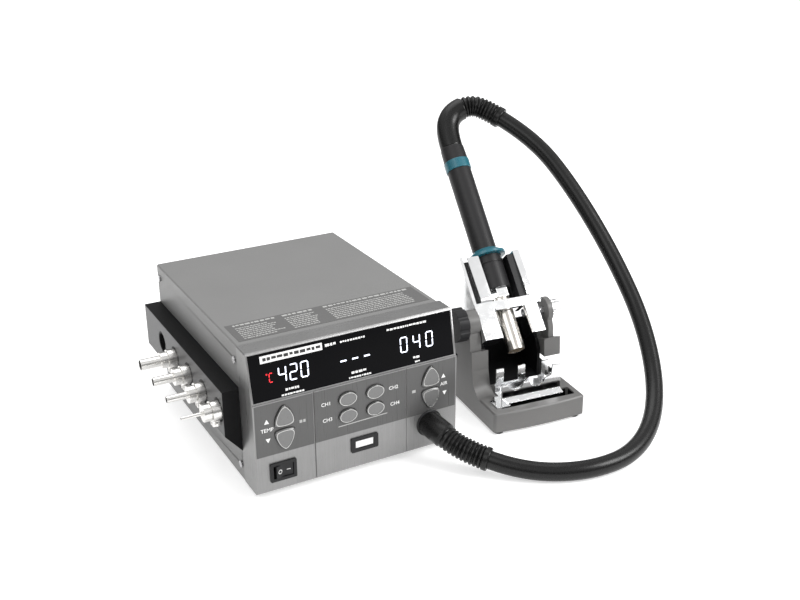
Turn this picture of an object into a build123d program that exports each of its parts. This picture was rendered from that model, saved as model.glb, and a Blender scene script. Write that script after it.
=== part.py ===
"""Hot air rework station: control case, nozzle rack, air hose, handpiece and tilting stand.

Row frame: +Z up, +X to the right of the front panel, +Y towards the back of the case.
The origin is on the bench, under the middle of the rigid parts. Millimetres.
"""

import os
from math import atan2, cos, pi, radians, sin, tan

from build123d import *

os.makedirs("parts", exist_ok=True)

# ---------------------------------------------------------------- driving dimensions
case_left = -142.66  # left side of the front bezel
case_front = -114.8  # face of the lower front panel
feet_h = 6.0  # clearance under the bezel

bezel_w = 188.0
bezel_h = 124.0
bezel_depth = 28.0
bezel_wall = 2.8
panel_h = 82.5  # lower panel, under the display
display_set_back = 1.3
display_lean = 8.2  # how far the display's top edge leans back

cover_inset = 1.4
cover_h = 122.8
cover_back = 237.0
sheet = 1.2
skirt = -2.0  # bottom edge of the cover, under the bezel's bottom edge

film = 0.25
button_proud = 2.2
button_travel = 1.0
button_gap = 0.5
flange_extra = 0.8
board_thick = 1.6

rack_out = 14.0  # rack's outer face, left of the bezel
rack_low = 45.0
rack_top = 85.5
rack_front = 28.6
hole_h = 65.6
hole_first = 39.4
hole_pitch = 36.9
hole_r = 8.8

hose_r = 8.0
boot_r = 10.4
gland_x = 161.0
gland_h = 24.3

stand_turn = -5.8
stand_w = 94.0
stand_d = 102.0
stand_h = 22.0
foot_h = 3.0
pivot_y = 64.0
pivot_h = 85.0
hub_r = 12.0
bolt_r = 4.0
running = 0.05

handle_lean = 42.35  # from upright
tip_y = 47.3
tip_h = 56.0
tube_r = 8.75
collar_r = 13.2
grip_r = 11.8
flange_r = 18.6
seat_t = 95.0  # underside of the handpiece's flange, from the tip
seat_gap = 0.05
cap_t = 214.0

# ---------------------------------------------------------------- reference planes
station = Plane(origin=(case_left, case_front, feet_h), x_dir=(1, 0, 0), z_dir=(0, 0, 1))


def level(h):
    """Horizontal plane at height h over the bezel's bottom edge."""
    return station.offset(h)


def facing(depth, lift=0.0):
    """Upright plane at a depth behind the front panel; its normal points to the user."""
    origin = station.from_local_coords((0, depth, lift))
    return Plane(origin=origin, x_dir=(1, 0, 0), z_dir=(0, -1, 0))


def flank(x):
    """Upright plane across X; its own x runs towards the back."""
    return Plane(origin=station.from_local_coords((x, 0, 0)), x_dir=(0, 1, 0), z_dir=(1, 0, 0))


display_angle = atan2(display_lean, bezel_h - panel_h)
display = Plane(
    origin=station.from_local_coords((0, display_set_back, panel_h + 0.4)),
    x_dir=(1, 0, 0),
    z_dir=(0, -cos(display_angle), sin(display_angle)),
)
display_len = 41.6

stand = Plane(
    origin=(case_left + 227.0, case_front - 3.9, 0),
    x_dir=(cos(radians(stand_turn)), sin(radians(stand_turn)), 0),
    z_dir=(0, 0, 1),
)


def stand_level(h):
    """Horizontal plane of the stand at height h over the bench."""
    return stand.offset(h)


def stand_flank(x):
    """Upright plane across the stand's own X; its own x runs to the stand's back."""
    return Plane(
        origin=stand.from_local_coords((x, 0, 0)), x_dir=stand.y_dir, z_dir=stand.x_dir
    )


def stand_facing(y):
    """Upright plane at a depth in the stand; its normal points to the stand's front."""
    return Plane(
        origin=stand.from_local_coords((0, y, 0)), x_dir=stand.x_dir, z_dir=-stand.y_dir
    )


stand_mid = stand_w / 2 - 0.3
handle_axis = stand.y_dir * sin(radians(handle_lean)) + stand.z_dir * cos(radians(handle_lean))
handle = Plane(
    origin=stand.from_local_coords((stand_mid, tip_y, tip_h)),
    x_dir=stand.x_dir,
    z_dir=handle_axis,
)


def across(t):
    """Plane square to the handpiece, t from its tip; its own y runs down and back."""
    return handle.offset(t)


def beside(x):
    """Plane along the handpiece; its own x runs up and forward, its own y to the grip."""
    return Plane(
        origin=handle.from_local_coords((x, 0, 0)), x_dir=-handle.y_dir, z_dir=-handle.x_dir
    )


def keep(piece, name):
    """Labels one finished piece and writes its STEP file."""
    piece.part.label = name
    export_step(piece.part, f"parts/{name}.step")
    return piece


# ---------------------------------------------------------------- control case
tray_front, tray_back = 29.0, 235.0
flap_trim, flap_h = 14.0, 6.0
vent_count, vent_first, vent_pitch = 7, 40.0, 18.0
vent_long, vent_wide, vent_y = 48.0, 3.2, 150.0
with BuildPart() as base_chassis:
    with BuildSketch(level(skirt)):
        with Locations((bezel_w / 2, (tray_front + tray_back) / 2)):
            Rectangle(bezel_w - 2 * (cover_inset + sheet + 0.2), tray_back - tray_front)
    extrude(amount=sheet)
    for flap_y in (tray_front + sheet / 2, tray_back - sheet / 2):
        with BuildSketch(level(skirt + sheet)):
            with Locations((bezel_w / 2, flap_y)):
                Rectangle(bezel_w - flap_trim, sheet)
        extrude(amount=flap_h)
    for vent in range(vent_count):
        with BuildSketch(level(skirt)):
            with Locations((vent_first + vent_pitch * vent, vent_y)):
                SlotOverall(vent_long, vent_wide, rotation=90)
        extrude(amount=sheet, mode=Mode.SUBTRACT)
keep(base_chassis, "base_chassis")

cover_front = bezel_depth + 0.3
screw_r = 1.6
screw_clearance = 0.1
screw_spots = [(36.0, 108.5), (230.0, 111.0), (36.0, 12.0), (230.0, 12.0)]

side_vent_y, side_vent_h = 150.0, 60.0
side_vent_pitch, side_vent_rows, side_vent_long = 9.0, 22.0, 18.0
with BuildPart() as top_cover:
    with BuildSketch(flank(cover_inset)):
        with BuildLine():
            Polyline(
                (cover_front, skirt),
                (cover_front, cover_h),
                (cover_back, cover_h),
                (cover_back, skirt),
                close=True,
            )
        make_face()
    extrude(amount=bezel_w - 2 * cover_inset)
    top_edges = top_cover.edges().filter_by(Axis.Y).group_by(Axis.Z)[-1]
    fillet(top_edges, radius=1.6)
    with BuildSketch(flank(cover_inset + sheet)):
        with BuildLine():
            Polyline(
                (bezel_depth, skirt - 1),
                (bezel_depth, cover_h - sheet),
                (cover_back + 1, cover_h - sheet),
                (cover_back + 1, skirt - 1),
                close=True,
            )
        make_face()
    extrude(amount=bezel_w - 2 * (cover_inset + sheet), mode=Mode.SUBTRACT)
    with BuildSketch(flank(0)):
        with Locations(*screw_spots):
            Circle(screw_r + screw_clearance)
    extrude(amount=bezel_w, mode=Mode.SUBTRACT)
    # vent slots low on the right side
    with BuildSketch(flank(bezel_w / 2)):
        with Locations((side_vent_y, side_vent_h)):
            with GridLocations(side_vent_pitch, side_vent_rows, 9, 2):
                SlotOverall(side_vent_long, 3.0, rotation=90)
    extrude(amount=bezel_w / 2, mode=Mode.SUBTRACT)
keep(top_cover, "top_cover")

inner_w = bezel_w - 2 * (cover_inset + sheet + 0.1)
inlet_x, inlet_h = 44.0, 34.0
inlet_body_w, inlet_body_h = 27.0, 20.0
fuse_x, fuse_r = inlet_x + 34.0, 6.0
air_holes = [(7.0, 5), (16.0, 12), (26.0, 18)]  # radius of each ring and its number of holes
air_hole_r = 2.5
air_hole_spot = (126, 62)
with BuildPart() as rear_panel:
    with BuildSketch(facing(cover_back - 0.6)):
        with Locations((bezel_w / 2, (cover_h - sheet + skirt + sheet) / 2)):
            Rectangle(inner_w, cover_h - 2 * sheet - skirt - 0.2)
        with Locations((inlet_x, inlet_h)):
            Rectangle(inlet_body_w + 0.4, inlet_body_h + 0.4, mode=Mode.SUBTRACT)
        with Locations((fuse_x, inlet_h)):
            Circle(fuse_r + 0.1, mode=Mode.SUBTRACT)
        with Locations(air_hole_spot):
            for ring_r, hole_count in air_holes:
                with PolarLocations(ring_r, hole_count):
                    Circle(air_hole_r, mode=Mode.SUBTRACT)
    extrude(amount=sheet)
keep(rear_panel, "rear_panel")

# panel openings, in the front panel's own X and height
pick_half, pick_low, pick_tip, pick_round = 8.6, -7.4, 10.6, 2.2
pick_bulge = 2.0  # how far the sides bow out
pick_sag = 1.2  # how far the base bows down
oval_rx, oval_ry = 8.2, 6.0
triangle_buttons = {
    "temp_up_button": (26.2, 67.8, 0),
    "temp_down_button": (26.2, 48.1, 180),
    "air_up_button": (161.8, 69.2, 0),
    "air_down_button": (161.8, 49.5, 180),
}
oval_buttons = {
    "ch1_button": (82.8, 69.0),
    "ch2_button": (108.2, 69.0),
    "ch3_button": (82.8, 53.4),
    "ch4_button": (108.2, 53.4),
}
port_x, port_h = 97.8, 23.0
port_body_w, port_body_h = 22.4, 10.8
rocker_x, rocker_h, rocker_pin_y = 23.4, 18.6, 3.5
switch_body_w, switch_body_h = 20.4, 14.2
body_clearance = 0.4
gland_neck_r = 11.0


def button_outline(name, grow):
    """Outline of one button, grown outwards, in the current sketch."""
    if name in triangle_buttons:
        x, h, turn = triangle_buttons[name]
        with BuildSketch(mode=Mode.PRIVATE) as shape:
            side_x = pick_half / 2 + pick_bulge
            side_y = (pick_low + pick_tip + pick_bulge) / 2
            low_left, low_right = (-pick_half, pick_low), (pick_half, pick_low)
            with BuildLine():
                ThreePointArc(low_left, (0, pick_low - pick_sag), low_right)
                ThreePointArc(low_right, (side_x, side_y), (0, pick_tip))
                ThreePointArc((0, pick_tip), (-side_x, side_y), low_left)
            make_face()
            fillet(shape.vertices(), pick_round)
            if grow:
                offset(amount=grow)
        with Locations(Location((x, h, 0), (0, 0, turn))):
            add(shape.sketch)
    else:
        x, h = oval_buttons[name]
        with Locations((x, h)):
            Ellipse(oval_rx + grow, oval_ry + grow)


all_buttons = list(triangle_buttons) + list(oval_buttons)
stem_r, stem_end = 2.0, 7.4  # a button's stem and how deep it reaches
switch_face, switch_deep, switch_side = 9.4, 2.2, 6.0
board_front = switch_face + switch_deep
plunger_r, plunger_out = 1.7, 0.8
groove_x, seam_x = 52.6, 138.4
groove_w, seam_w = 1.1, 0.5
window_edge = 1.8  # from the window's pocket to the bezel's side
pocket_deep = 1.6
opening_edge = 8.0

with BuildPart() as front_bezel:
    with BuildSketch(flank(0)):
        with BuildLine():
            Polyline(
                (2.6, 0),
                (0, 2.6),
                (0, panel_h),
                (display_set_back, panel_h + 0.4),
                (display_set_back + display_lean, bezel_h - 1.6),
                (display_set_back + display_lean + 1.6, bezel_h),
                (bezel_depth, bezel_h),
                (bezel_depth, 0),
                close=True,
            )
        make_face()
    extrude(amount=bezel_w)
    side_edges = front_bezel.edges().filter_by(Axis.Y).group_by(Axis.Z)[-1]
    fillet(side_edges, radius=1.4)
    with BuildSketch(flank(bezel_wall)):
        with BuildLine():
            Polyline(
                (bezel_wall + 1.2, 2.4),
                (bezel_wall, 4.0),
                (bezel_wall, panel_h - 1.0),
                (bezel_wall + display_set_back + 0.6, panel_h + 0.4),
                (bezel_wall + display_set_back + display_lean, bezel_h - 2.8),
                (bezel_depth + 1, bezel_h - 2.8),
                (bezel_depth + 1, 2.4),
                close=True,
            )
        make_face()
    extrude(amount=bezel_w - 2 * bezel_wall, mode=Mode.SUBTRACT)
    # pocket for the window, with a smaller opening behind it
    with BuildSketch(display):
        with Locations((bezel_w / 2, display_len / 2 - 0.4)):
            Rectangle(bezel_w - 2 * window_edge, display_len - 2.6)
    extrude(amount=-pocket_deep, mode=Mode.SUBTRACT)
    with BuildSketch(display):
        with Locations((bezel_w / 2, display_len / 2 - 0.4)):
            Rectangle(bezel_w - 2 * opening_edge, display_len - 9)
    extrude(amount=-6, mode=Mode.SUBTRACT)
    # buttons, air port and switch
    for name in all_buttons:
        with BuildSketch(facing(bezel_wall + 1)):
            button_outline(name, button_gap)
        extrude(amount=bezel_wall + 2, mode=Mode.SUBTRACT)
    with BuildSketch(facing(bezel_wall + 1)):
        with Locations((port_x, port_h)):
            RectangleRounded(port_body_w + body_clearance, port_body_h + body_clearance, 2.6)
        with Locations((rocker_x, rocker_h)):
            Rectangle(switch_body_w + body_clearance, switch_body_h + body_clearance)
        with Locations((gland_x, gland_h)):
            Circle(gland_neck_r + 0.1)
    extrude(amount=bezel_wall + 2, mode=Mode.SUBTRACT)
    # the groove and the fine seam that divide the panel
    with BuildSketch(facing(0.9)):
        with Locations((groove_x, panel_h / 2)):
            Rectangle(groove_w, panel_h + 2)
    extrude(amount=2, mode=Mode.SUBTRACT)
    with BuildSketch(facing(0.4)):
        with Locations((seam_x, panel_h / 2)):
            Rectangle(seam_w, panel_h + 2)
    extrude(amount=2, mode=Mode.SUBTRACT)
keep(front_bezel, "front_bezel")

film_low, film_top, film_edge = 35.2, 81.6, 1.2
film_spans = [
    (film_edge, groove_x - 0.7),
    (groove_x + 0.7, seam_x - 0.4),
    (seam_x + 0.4, bezel_w - film_edge),
]
flange_rim = 12.4  # hose gland's flange
with BuildPart() as control_film:
    for x0, x1 in film_spans:
        with BuildSketch(facing(0)):
            with Locations(((x0 + x1) / 2, (film_low + film_top) / 2)):
                Rectangle(x1 - x0, film_top - film_low)
        extrude(amount=film)
    for name in all_buttons:
        with BuildSketch(facing(0.5)):
            button_outline(name, button_gap)
        extrude(amount=2, mode=Mode.SUBTRACT)
    with BuildSketch(facing(0.5)):
        with Locations((gland_x, gland_h)):
            Circle(flange_rim + 0.4)
    extrude(amount=2, mode=Mode.SUBTRACT)
keep(control_film, "control_film")

for name in all_buttons:
    with BuildPart() as button:
        with BuildSketch(facing(bezel_wall + 0.6)):
            button_outline(name, 0)
        extrude(amount=bezel_wall + 0.6 + button_proud)
        rim = button.faces().sort_by(Axis.Y)[0].edges()
        chamfer(rim, length=0.7)
        with BuildSketch(facing(bezel_wall + 1.4)):
            button_outline(name, flange_extra)
        extrude(amount=1.2)
        stem_x, stem_h = (triangle_buttons | oval_buttons)[name][:2]
        with BuildSketch(facing(stem_end)):
            with Locations((stem_x, stem_h)):
                Circle(stem_r)
        extrude(amount=4.0)
    keep(button, name)

with BuildPart() as display_window:
    with BuildSketch(display.offset(-1.5)):
        with Locations((bezel_w / 2, display_len / 2 - 0.4)):
            Rectangle(bezel_w - 3.8, display_len - 2.8)
    extrude(amount=1.4)
keep(display_window, "display_window")

digit_groups = [38.0, 98.0, 150.0]
module_w, module_h, module_deep, module_back = 46.0, 22.0, 7.0, 9.5
with BuildPart() as digit_modules:
    for group_x in digit_groups:
        with BuildSketch(display.offset(-module_back)):
            with Locations((group_x, display_len / 2)):
                Rectangle(module_w, module_h)
        extrude(amount=module_deep)
keep(digit_modules, "digit_modules")

# the button board upright behind the panel, the display board on the slope
with BuildPart() as front_boards:
    with BuildSketch(facing(board_front + board_thick)):
        with Locations((bezel_w / 2, 60.0)):
            Rectangle(172, 42)
    extrude(amount=board_thick)
    with BuildSketch(display.offset(-11.2)):
        with Locations((bezel_w / 2, display_len / 2)):
            Rectangle(168, 30)
    extrude(amount=board_thick)
    # one push switch behind each button
    for name in all_buttons:
        stem_x, stem_h = (triangle_buttons | oval_buttons)[name][:2]
        with BuildSketch(facing(board_front)):
            with Locations((stem_x, stem_h)):
                Rectangle(switch_side, switch_side)
        extrude(amount=switch_deep)
        with BuildSketch(facing(switch_face)):
            with Locations((stem_x, stem_h)):
                Circle(plunger_r)
        extrude(amount=plunger_out)
keep(front_boards, "front_boards")

port_rim_w, port_rim_h, port_mouth_w, port_mouth_h = 25.5, 13.6, 17.4, 7.2
with BuildPart() as port_frame:
    with BuildSketch(facing(0)):
        with Locations((port_x, port_h)):
            RectangleRounded(port_rim_w, port_rim_h, 1.4)
    extrude(amount=1.2)
    with BuildSketch(facing(9)):
        with Locations((port_x, port_h)):
            RectangleRounded(port_body_w, port_body_h, 2.4)
    extrude(amount=9)
    with BuildSketch(facing(6)):
        with Locations((port_x, port_h)):
            RectangleRounded(port_mouth_w, port_mouth_h, 0.8)
    extrude(amount=10, mode=Mode.SUBTRACT)
keep(port_frame, "port_frame")

with BuildPart() as port_tongue:
    with BuildSketch(facing(6)):
        with Locations((port_x, port_h)):
            RectangleRounded(port_mouth_w - 0.8, port_mouth_h - 0.8, 0.6)
    extrude(amount=6.3)
keep(port_tongue, "port_tongue")

pin_r, pin_half = 1.0, 6.6
rocker_wide = 11.2
with BuildPart() as switch_housing:
    with BuildSketch(facing(0)):
        with Locations((rocker_x, rocker_h)):
            RectangleRounded(23.2, 17.0, 1.0)
    extrude(amount=1.5)
    with BuildSketch(facing(14)):
        with Locations((rocker_x, rocker_h)):
            Rectangle(switch_body_w, switch_body_h)
    extrude(amount=14)
    with BuildSketch(facing(11)):
        with Locations((rocker_x, rocker_h)):
            Rectangle(17.8, 11.6)
    extrude(amount=20, mode=Mode.SUBTRACT)
    with BuildSketch(level(rocker_h - pin_half - 0.3)):
        with Locations((rocker_x, rocker_pin_y)):
            Circle(pin_r + running)
    extrude(amount=2 * (pin_half + 0.3), mode=Mode.SUBTRACT)
keep(switch_housing, "switch_housing")

rocker_tilt = 8.0
rocker_half = 7.7
with BuildPart() as power_rocker:
    with BuildSketch(level(rocker_h - rocker_wide / 2)):
        with Locations(Location((rocker_x, rocker_pin_y, 0), (0, 0, rocker_tilt))):
            Polygon(
                (-rocker_half, -5.4),
                (0, -4.0),
                (rocker_half, -5.4),
                (rocker_half, -2.0),
                (4.6, 2.2),
                (-4.6, 2.2),
                (-rocker_half, -2.0),
                align=None,
            )
    extrude(amount=rocker_wide)
    with BuildSketch(level(rocker_h - pin_half)):
        with Locations((rocker_x, rocker_pin_y)):
            Circle(pin_r)
    extrude(amount=2 * pin_half)
keep(power_rocker, "power_rocker")

label_y, label_long, label_thick = 53.0, 34.0, 0.2
with BuildPart() as top_label:
    with BuildSketch(level(cover_h)):
        with Locations((bezel_w / 2, label_y)):
            Rectangle(bezel_w - 12, label_long)
    extrude(amount=label_thick)
keep(top_label, "top_label")

# ---------------------------------------------------------------- inside the case
tray_top = skirt + sheet
core_spot, core_w, core_long, core_h = (44, 176), 46.0, 50.0, 42.0
coil_w, coil_long, coil_h = 30.0, 66.0, 28.0
with BuildPart() as transformer:
    with BuildSketch(level(tray_top)):
        with Locations(core_spot):
            Rectangle(core_w, core_long)
    extrude(amount=core_h)
    with BuildSketch(level(tray_top + (core_h - coil_h) / 2)):
        with Locations(core_spot):
            Rectangle(coil_w, coil_long)
    extrude(amount=coil_h)
keep(transformer, "transformer")

power_board_h, power_board_spot = 5.0, (56, 96)
power_board_w, power_board_long = 88.0, 76.0
post_r = 3.0
with BuildPart() as power_board:
    with BuildSketch(level(power_board_h)):
        with Locations(power_board_spot):
            Rectangle(power_board_w, power_board_long)
    extrude(amount=board_thick)
    for post_x, post_y in ((18, 64), (94, 64), (18, 128), (94, 128)):
        with BuildSketch(level(tray_top)):
            with Locations((post_x, post_y)):
                Circle(post_r)
        extrude(amount=power_board_h - tray_top)
keep(power_board, "power_board")

# a finned heat sink and three filter capacitors standing on the power board
sink_w, sink_back, sink_h = 60.0, 3.0, 34.0
fin_count, fin_first, fin_pitch, fin_thick, fin_long = 9, 30.0, 6.5, 1.6, 16.0
capacitor_r, capacitor_h = 8.0, 30.0
with BuildPart() as power_parts:
    with BuildSketch(level(power_board_h + board_thick)):
        with Locations((56, 120)):
            Rectangle(sink_w, sink_back)
        for fin in range(fin_count):
            with Locations((fin_first + fin_pitch * fin, 111)):
                Rectangle(fin_thick, fin_long)
    extrude(amount=sink_h)
    with BuildSketch(level(power_board_h + board_thick)):
        for capacitor_x in (28, 50, 72):
            with Locations((capacitor_x, 84)):
                Circle(capacitor_r)
    extrude(amount=capacitor_h)
keep(power_parts, "power_parts")

blower_x, blower_y, blower_r = 136.0, 132.0, 34.0
blower_low, blower_high = 4.0, 40.0
duct_start = blower_y - 60.0
snail_wall = 2.0
duct_w, eye_r = 18.0, 16.0
with BuildPart() as blower_housing:
    with BuildSketch(level(blower_low)):
        with Locations((blower_x, blower_y)):
            Circle(blower_r)
        with Locations((gland_x, blower_y - 30)):
            Rectangle(duct_w, 60)
    extrude(amount=blower_high - blower_low)
    with BuildSketch(level(blower_low + snail_wall)):
        with Locations((blower_x, blower_y)):
            Circle(blower_r - snail_wall)
        with Locations((gland_x, blower_y - 32)):
            Rectangle(duct_w - 2 * snail_wall, 64)
    extrude(amount=blower_high - blower_low - 2 * snail_wall, mode=Mode.SUBTRACT)
    with BuildSketch(level(blower_high - 3)):
        with Locations((blower_x, blower_y)):
            Circle(eye_r)
    extrude(amount=6, mode=Mode.SUBTRACT)
keep(blower_housing, "blower_housing")

motor_r, motor_h, shaft_r, shaft_h = 11.0, 12.0, 2.0, 14.0
with BuildPart() as blower_motor:
    with BuildSketch(level(blower_low + snail_wall)):
        with Locations((blower_x, blower_y)):
            Circle(motor_r)
    extrude(amount=motor_h)
    with BuildSketch(level(blower_low + snail_wall + motor_h)):
        with Locations((blower_x, blower_y)):
            Circle(shaft_r)
    extrude(amount=shaft_h)
keep(blower_motor, "blower_motor")

blade_count, blade_long, blade_thick, blade_h = 12, 15.0, 1.4, 13.0
disc_low, disc_thick, disc_r, hub_boss = blower_low + 15.0, 1.6, 29.0, 6.0
with BuildPart() as blower_impeller:
    with BuildSketch(level(disc_low)):
        with Locations((blower_x, blower_y)):
            Circle(disc_r)
            Circle(shaft_r + running, mode=Mode.SUBTRACT)
    extrude(amount=disc_thick)
    with BuildSketch(level(disc_low + disc_thick)):
        with Locations((blower_x, blower_y)):
            Circle(hub_boss)
            Circle(shaft_r + running, mode=Mode.SUBTRACT)
            with PolarLocations(disc_r - 8, blade_count):
                Rectangle(blade_long, blade_thick, rotation=35)
    extrude(amount=blade_h)
keep(blower_impeller, "blower_impeller")

duct_outer, duct_inner, duct_round = 12.6, 10.6, 36.0
duct_mid = (blower_low + blower_high) / 2
with BuildPart() as air_duct:
    with BuildSketch(facing(duct_start)):
        with Locations((gland_x, duct_mid)):
            Rectangle(21, 38)
    with BuildSketch(facing(duct_round)):
        with Locations((gland_x, gland_h)):
            Circle(duct_outer)
    loft()
    with BuildSketch(facing(duct_start)):
        with Locations((gland_x, duct_mid)):
            Rectangle(18.2, 36.2)
    with BuildSketch(facing(duct_round)):
        with Locations((gland_x, gland_h)):
            Circle(duct_inner)
    loft(mode=Mode.SUBTRACT)
    with BuildSketch(facing(duct_round)):
        with Locations((gland_x, gland_h)):
            Circle(duct_outer)
            Circle(duct_inner, mode=Mode.SUBTRACT)
    extrude(amount=22)
keep(air_duct, "air_duct")

with BuildPart() as mains_inlet:
    with BuildSketch(facing(cover_back + 2.4)):
        with Locations((inlet_x, inlet_h)):
            RectangleRounded(31, 24, 2)
    extrude(amount=2.4)
    with BuildSketch(facing(cover_back)):
        with Locations((inlet_x, inlet_h)):
            Rectangle(inlet_body_w, inlet_body_h)
    extrude(amount=20)
    with BuildSketch(facing(cover_back + 3)):
        with Locations((inlet_x, inlet_h)):
            Rectangle(23.5, 16.2)
    extrude(amount=17, mode=Mode.SUBTRACT)
    with BuildSketch(facing(cover_back - 2)):
        for pin_x, pin_h in ((-7, -1), (0, 3), (7, -1)):
            with Locations((inlet_x + pin_x, inlet_h + pin_h)):
                Rectangle(2, 4)
    extrude(amount=12.5)
keep(mains_inlet, "mains_inlet")

with BuildPart() as fuse_holder:
    with BuildSketch(facing(cover_back + 6)):
        with Locations((fuse_x, inlet_h)):
            Circle(fuse_r + 1.5)
    extrude(amount=6)
    with BuildSketch(facing(cover_back)):
        with Locations((fuse_x, inlet_h)):
            Circle(fuse_r)
    extrude(amount=26)
keep(fuse_holder, "fuse_holder")

# ---------------------------------------------------------------- nozzle rack
hole_spots = [(hole_first + hole_pitch * n, hole_h) for n in range(5)]
rack_back = 236.0
rack_mid = (rack_front + rack_back) / 2
rack_long = rack_back - rack_front
gusset_low, rack_flange = 27.0, 10.0
rack_screw_spots = [(60, rack_top - 6), (204, rack_top - 6)]

with BuildPart() as nozzle_rack:
    with BuildSketch(flank(-rack_out)):
        with Locations((rack_mid, (rack_low + rack_top) / 2)):
            Rectangle(rack_long, rack_top - rack_low)
        with Locations(*hole_spots):
            Circle(hole_r, mode=Mode.SUBTRACT)
    extrude(amount=sheet)
    with BuildSketch(flank(-rack_out)):
        with Locations((rack_mid, rack_top - sheet / 2)):
            Rectangle(rack_long, sheet)
    extrude(amount=rack_out + cover_inset)
    for end in (rack_front + sheet, rack_back):
        with BuildSketch(facing(end)):
            with BuildLine():
                Polyline(
                    (-rack_out, rack_low),
                    (-rack_out, rack_top),
                    (cover_inset, rack_top),
                    (cover_inset, gusset_low),
                    close=True,
                )
            make_face()
        extrude(amount=sheet)
    # flange along the case, with its screw holes
    with BuildSketch(flank(cover_inset - sheet)):
        with Locations((rack_mid, rack_top - rack_flange / 2)):
            Rectangle(rack_long, rack_flange)
        with Locations(*rack_screw_spots):
            Circle(screw_r + screw_clearance, mode=Mode.SUBTRACT)
    extrude(amount=sheet)
keep(nozzle_rack, "nozzle_rack")

socket_out = 7.4  # how far a nozzle's socket stands out of the rack
groove_out, groove_r = 0.8, 6.0
neck_out, neck_r = 14.0, 7.4
tip_out = 32.0
socket_in = 8.0
ear_apart, ear_w, ear_h, ear_long = 3.8, 2.2, 6.0, 6.0
clamp_screw_r, clamp_screw_long = 1.3, 10.0
nozzle_tubes = [1.5, 3.1, 3.9, 4.95]  # outer radii, from the front of the rack
for number, nozzle_r in enumerate(nozzle_tubes):
    spot = hole_spots[number]
    ear_middle = spot[1] - hole_r - 1.4
    with BuildPart() as rack_nozzle:
        with BuildSketch(flank(-rack_out + socket_in)):
            with Locations(spot):
                Circle(hole_r - 0.1)
        extrude(amount=-socket_in - socket_out)
        with BuildSketch(flank(-rack_out - socket_out)):
            with Locations(spot):
                Circle(groove_r)
        extrude(amount=-groove_out)
        with BuildSketch(flank(-rack_out - socket_out - groove_out)):
            with Locations(spot):
                Circle(neck_r)
        extrude(amount=-(neck_out - socket_out - groove_out))
        with BuildSketch(flank(-rack_out - neck_out)):
            with Locations(spot):
                Circle(nozzle_r)
        extrude(amount=-(tip_out - neck_out))
        # socket bore, then the narrow bore to the tip
        with BuildSketch(flank(-rack_out + socket_in)):
            with Locations(spot):
                Circle(hole_r - 0.9)
        extrude(amount=-14, mode=Mode.SUBTRACT)
        with BuildSketch(flank(-rack_out - 4)):
            with Locations(spot):
                Circle(nozzle_r - 0.5)
        extrude(amount=-tip_out, mode=Mode.SUBTRACT)
        # split clamp ears under the socket
        with BuildSketch(flank(-rack_out - 0.8)):
            with Locations((spot[0], ear_middle)):
                with GridLocations(ear_apart, 1, 2, 1):
                    Rectangle(ear_w, ear_h)
        extrude(amount=-ear_long)
        # screw across the ears
        with BuildSketch(facing(spot[0] + clamp_screw_long / 2)):
            with Locations((-rack_out - 3.8, ear_middle - 0.8)):
                Circle(clamp_screw_r)
        extrude(amount=clamp_screw_long)
    keep(rack_nozzle, f"rack_nozzle_{number + 1}")

# ---------------------------------------------------------------- hose and its boots
lower_route = [
    (gland_x, 8, gland_h),
    (gland_x, -14, gland_h),
    (172, -36, 13),
    (188.1, -54.86, 8.032),
]
hose_route = [
    (188.1, -54.86, 8.032),
    (207, -77, 2.2),
    (256, -104, 2.2),
    (314, -100, 3.0),
    (364, -64, 21),
    (393, -8, 66),
    (397, 52, 120),
    (384, 104, 176),
    (366, 146, 217),
    (345.4, 174.7, 233.7),
]
upper_end = station.to_local_coords(handle.from_local_coords((0, 0, cap_t)))
upper_mid = station.to_local_coords(handle.from_local_coords((0, 0, cap_t + 20)))
upper_route = [
    (345.4, 174.7, 233.7),
    (333.04, 191.92, 243.72),
    (319.5, 200, 244.5),
    (303.5, 202.5, 237),
    tuple(upper_mid),
    tuple(upper_end),
]


def bend_radii(points):
    """Radius at each corner: 0.45 of its shorter run over the tangent of half its turn."""
    spots = [Vector(*p) for p in points]
    radii = []
    for before, here, after in zip(spots, spots[1:], spots[2:]):
        run_in = here - before
        run_out = after - here
        half_turn = radians(run_in.get_angle(run_out)) / 2
        radii.append(0.45 * min(run_in.length, run_out.length) / tan(half_turn))
    return radii


def soft_tube(points, radius, name):
    """A round tube of straight runs and tangent arcs through the route's corners."""
    spots = [station.from_local_coords(p) for p in points]
    radii = bend_radii(points)
    with BuildPart() as tube:
        with BuildLine() as path:
            FilletPolyline(*spots, radius=radii)
        wire = path.wire()
        with BuildSketch(Plane(origin=wire @ 0, z_dir=wire % 0)):
            Circle(radius)
        sweep(path=wire)
    section_run = pi * radius**2 * wire.length
    print(name, "length", round(wire.length, 1), "radii", [round(r) for r in radii])
    print(name, "volume over section x length", round(tube.part.volume / section_run, 4))
    return keep(tube, name)


soft_tube(lower_route, boot_r, "lower_boot")
soft_tube(hose_route, hose_r, "air_hose")
soft_tube(upper_route, boot_r, "upper_boot")

with BuildPart() as hose_gland:
    with BuildSketch(facing(0)):
        with Locations((gland_x, gland_h)):
            Circle(flange_rim)
    extrude(amount=1.2)
    with BuildSketch(facing(12)):
        with Locations((gland_x, gland_h)):
            Circle(gland_neck_r)
    extrude(amount=12)
    with BuildSketch(facing(8)):
        with Locations((gland_x, gland_h)):
            Circle(boot_r + running)
    extrude(amount=20, mode=Mode.SUBTRACT)
    with BuildSketch(facing(14)):
        with Locations((gland_x, gland_h)):
            Circle(8.5)
    extrude(amount=20, mode=Mode.SUBTRACT)
    outer_rim = hose_gland.faces().sort_by(Axis.Y)[0].edges().sort_by(SortBy.LENGTH)[-1]
    chamfer(outer_rim, length=0.8)
keep(hose_gland, "hose_gland")

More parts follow.
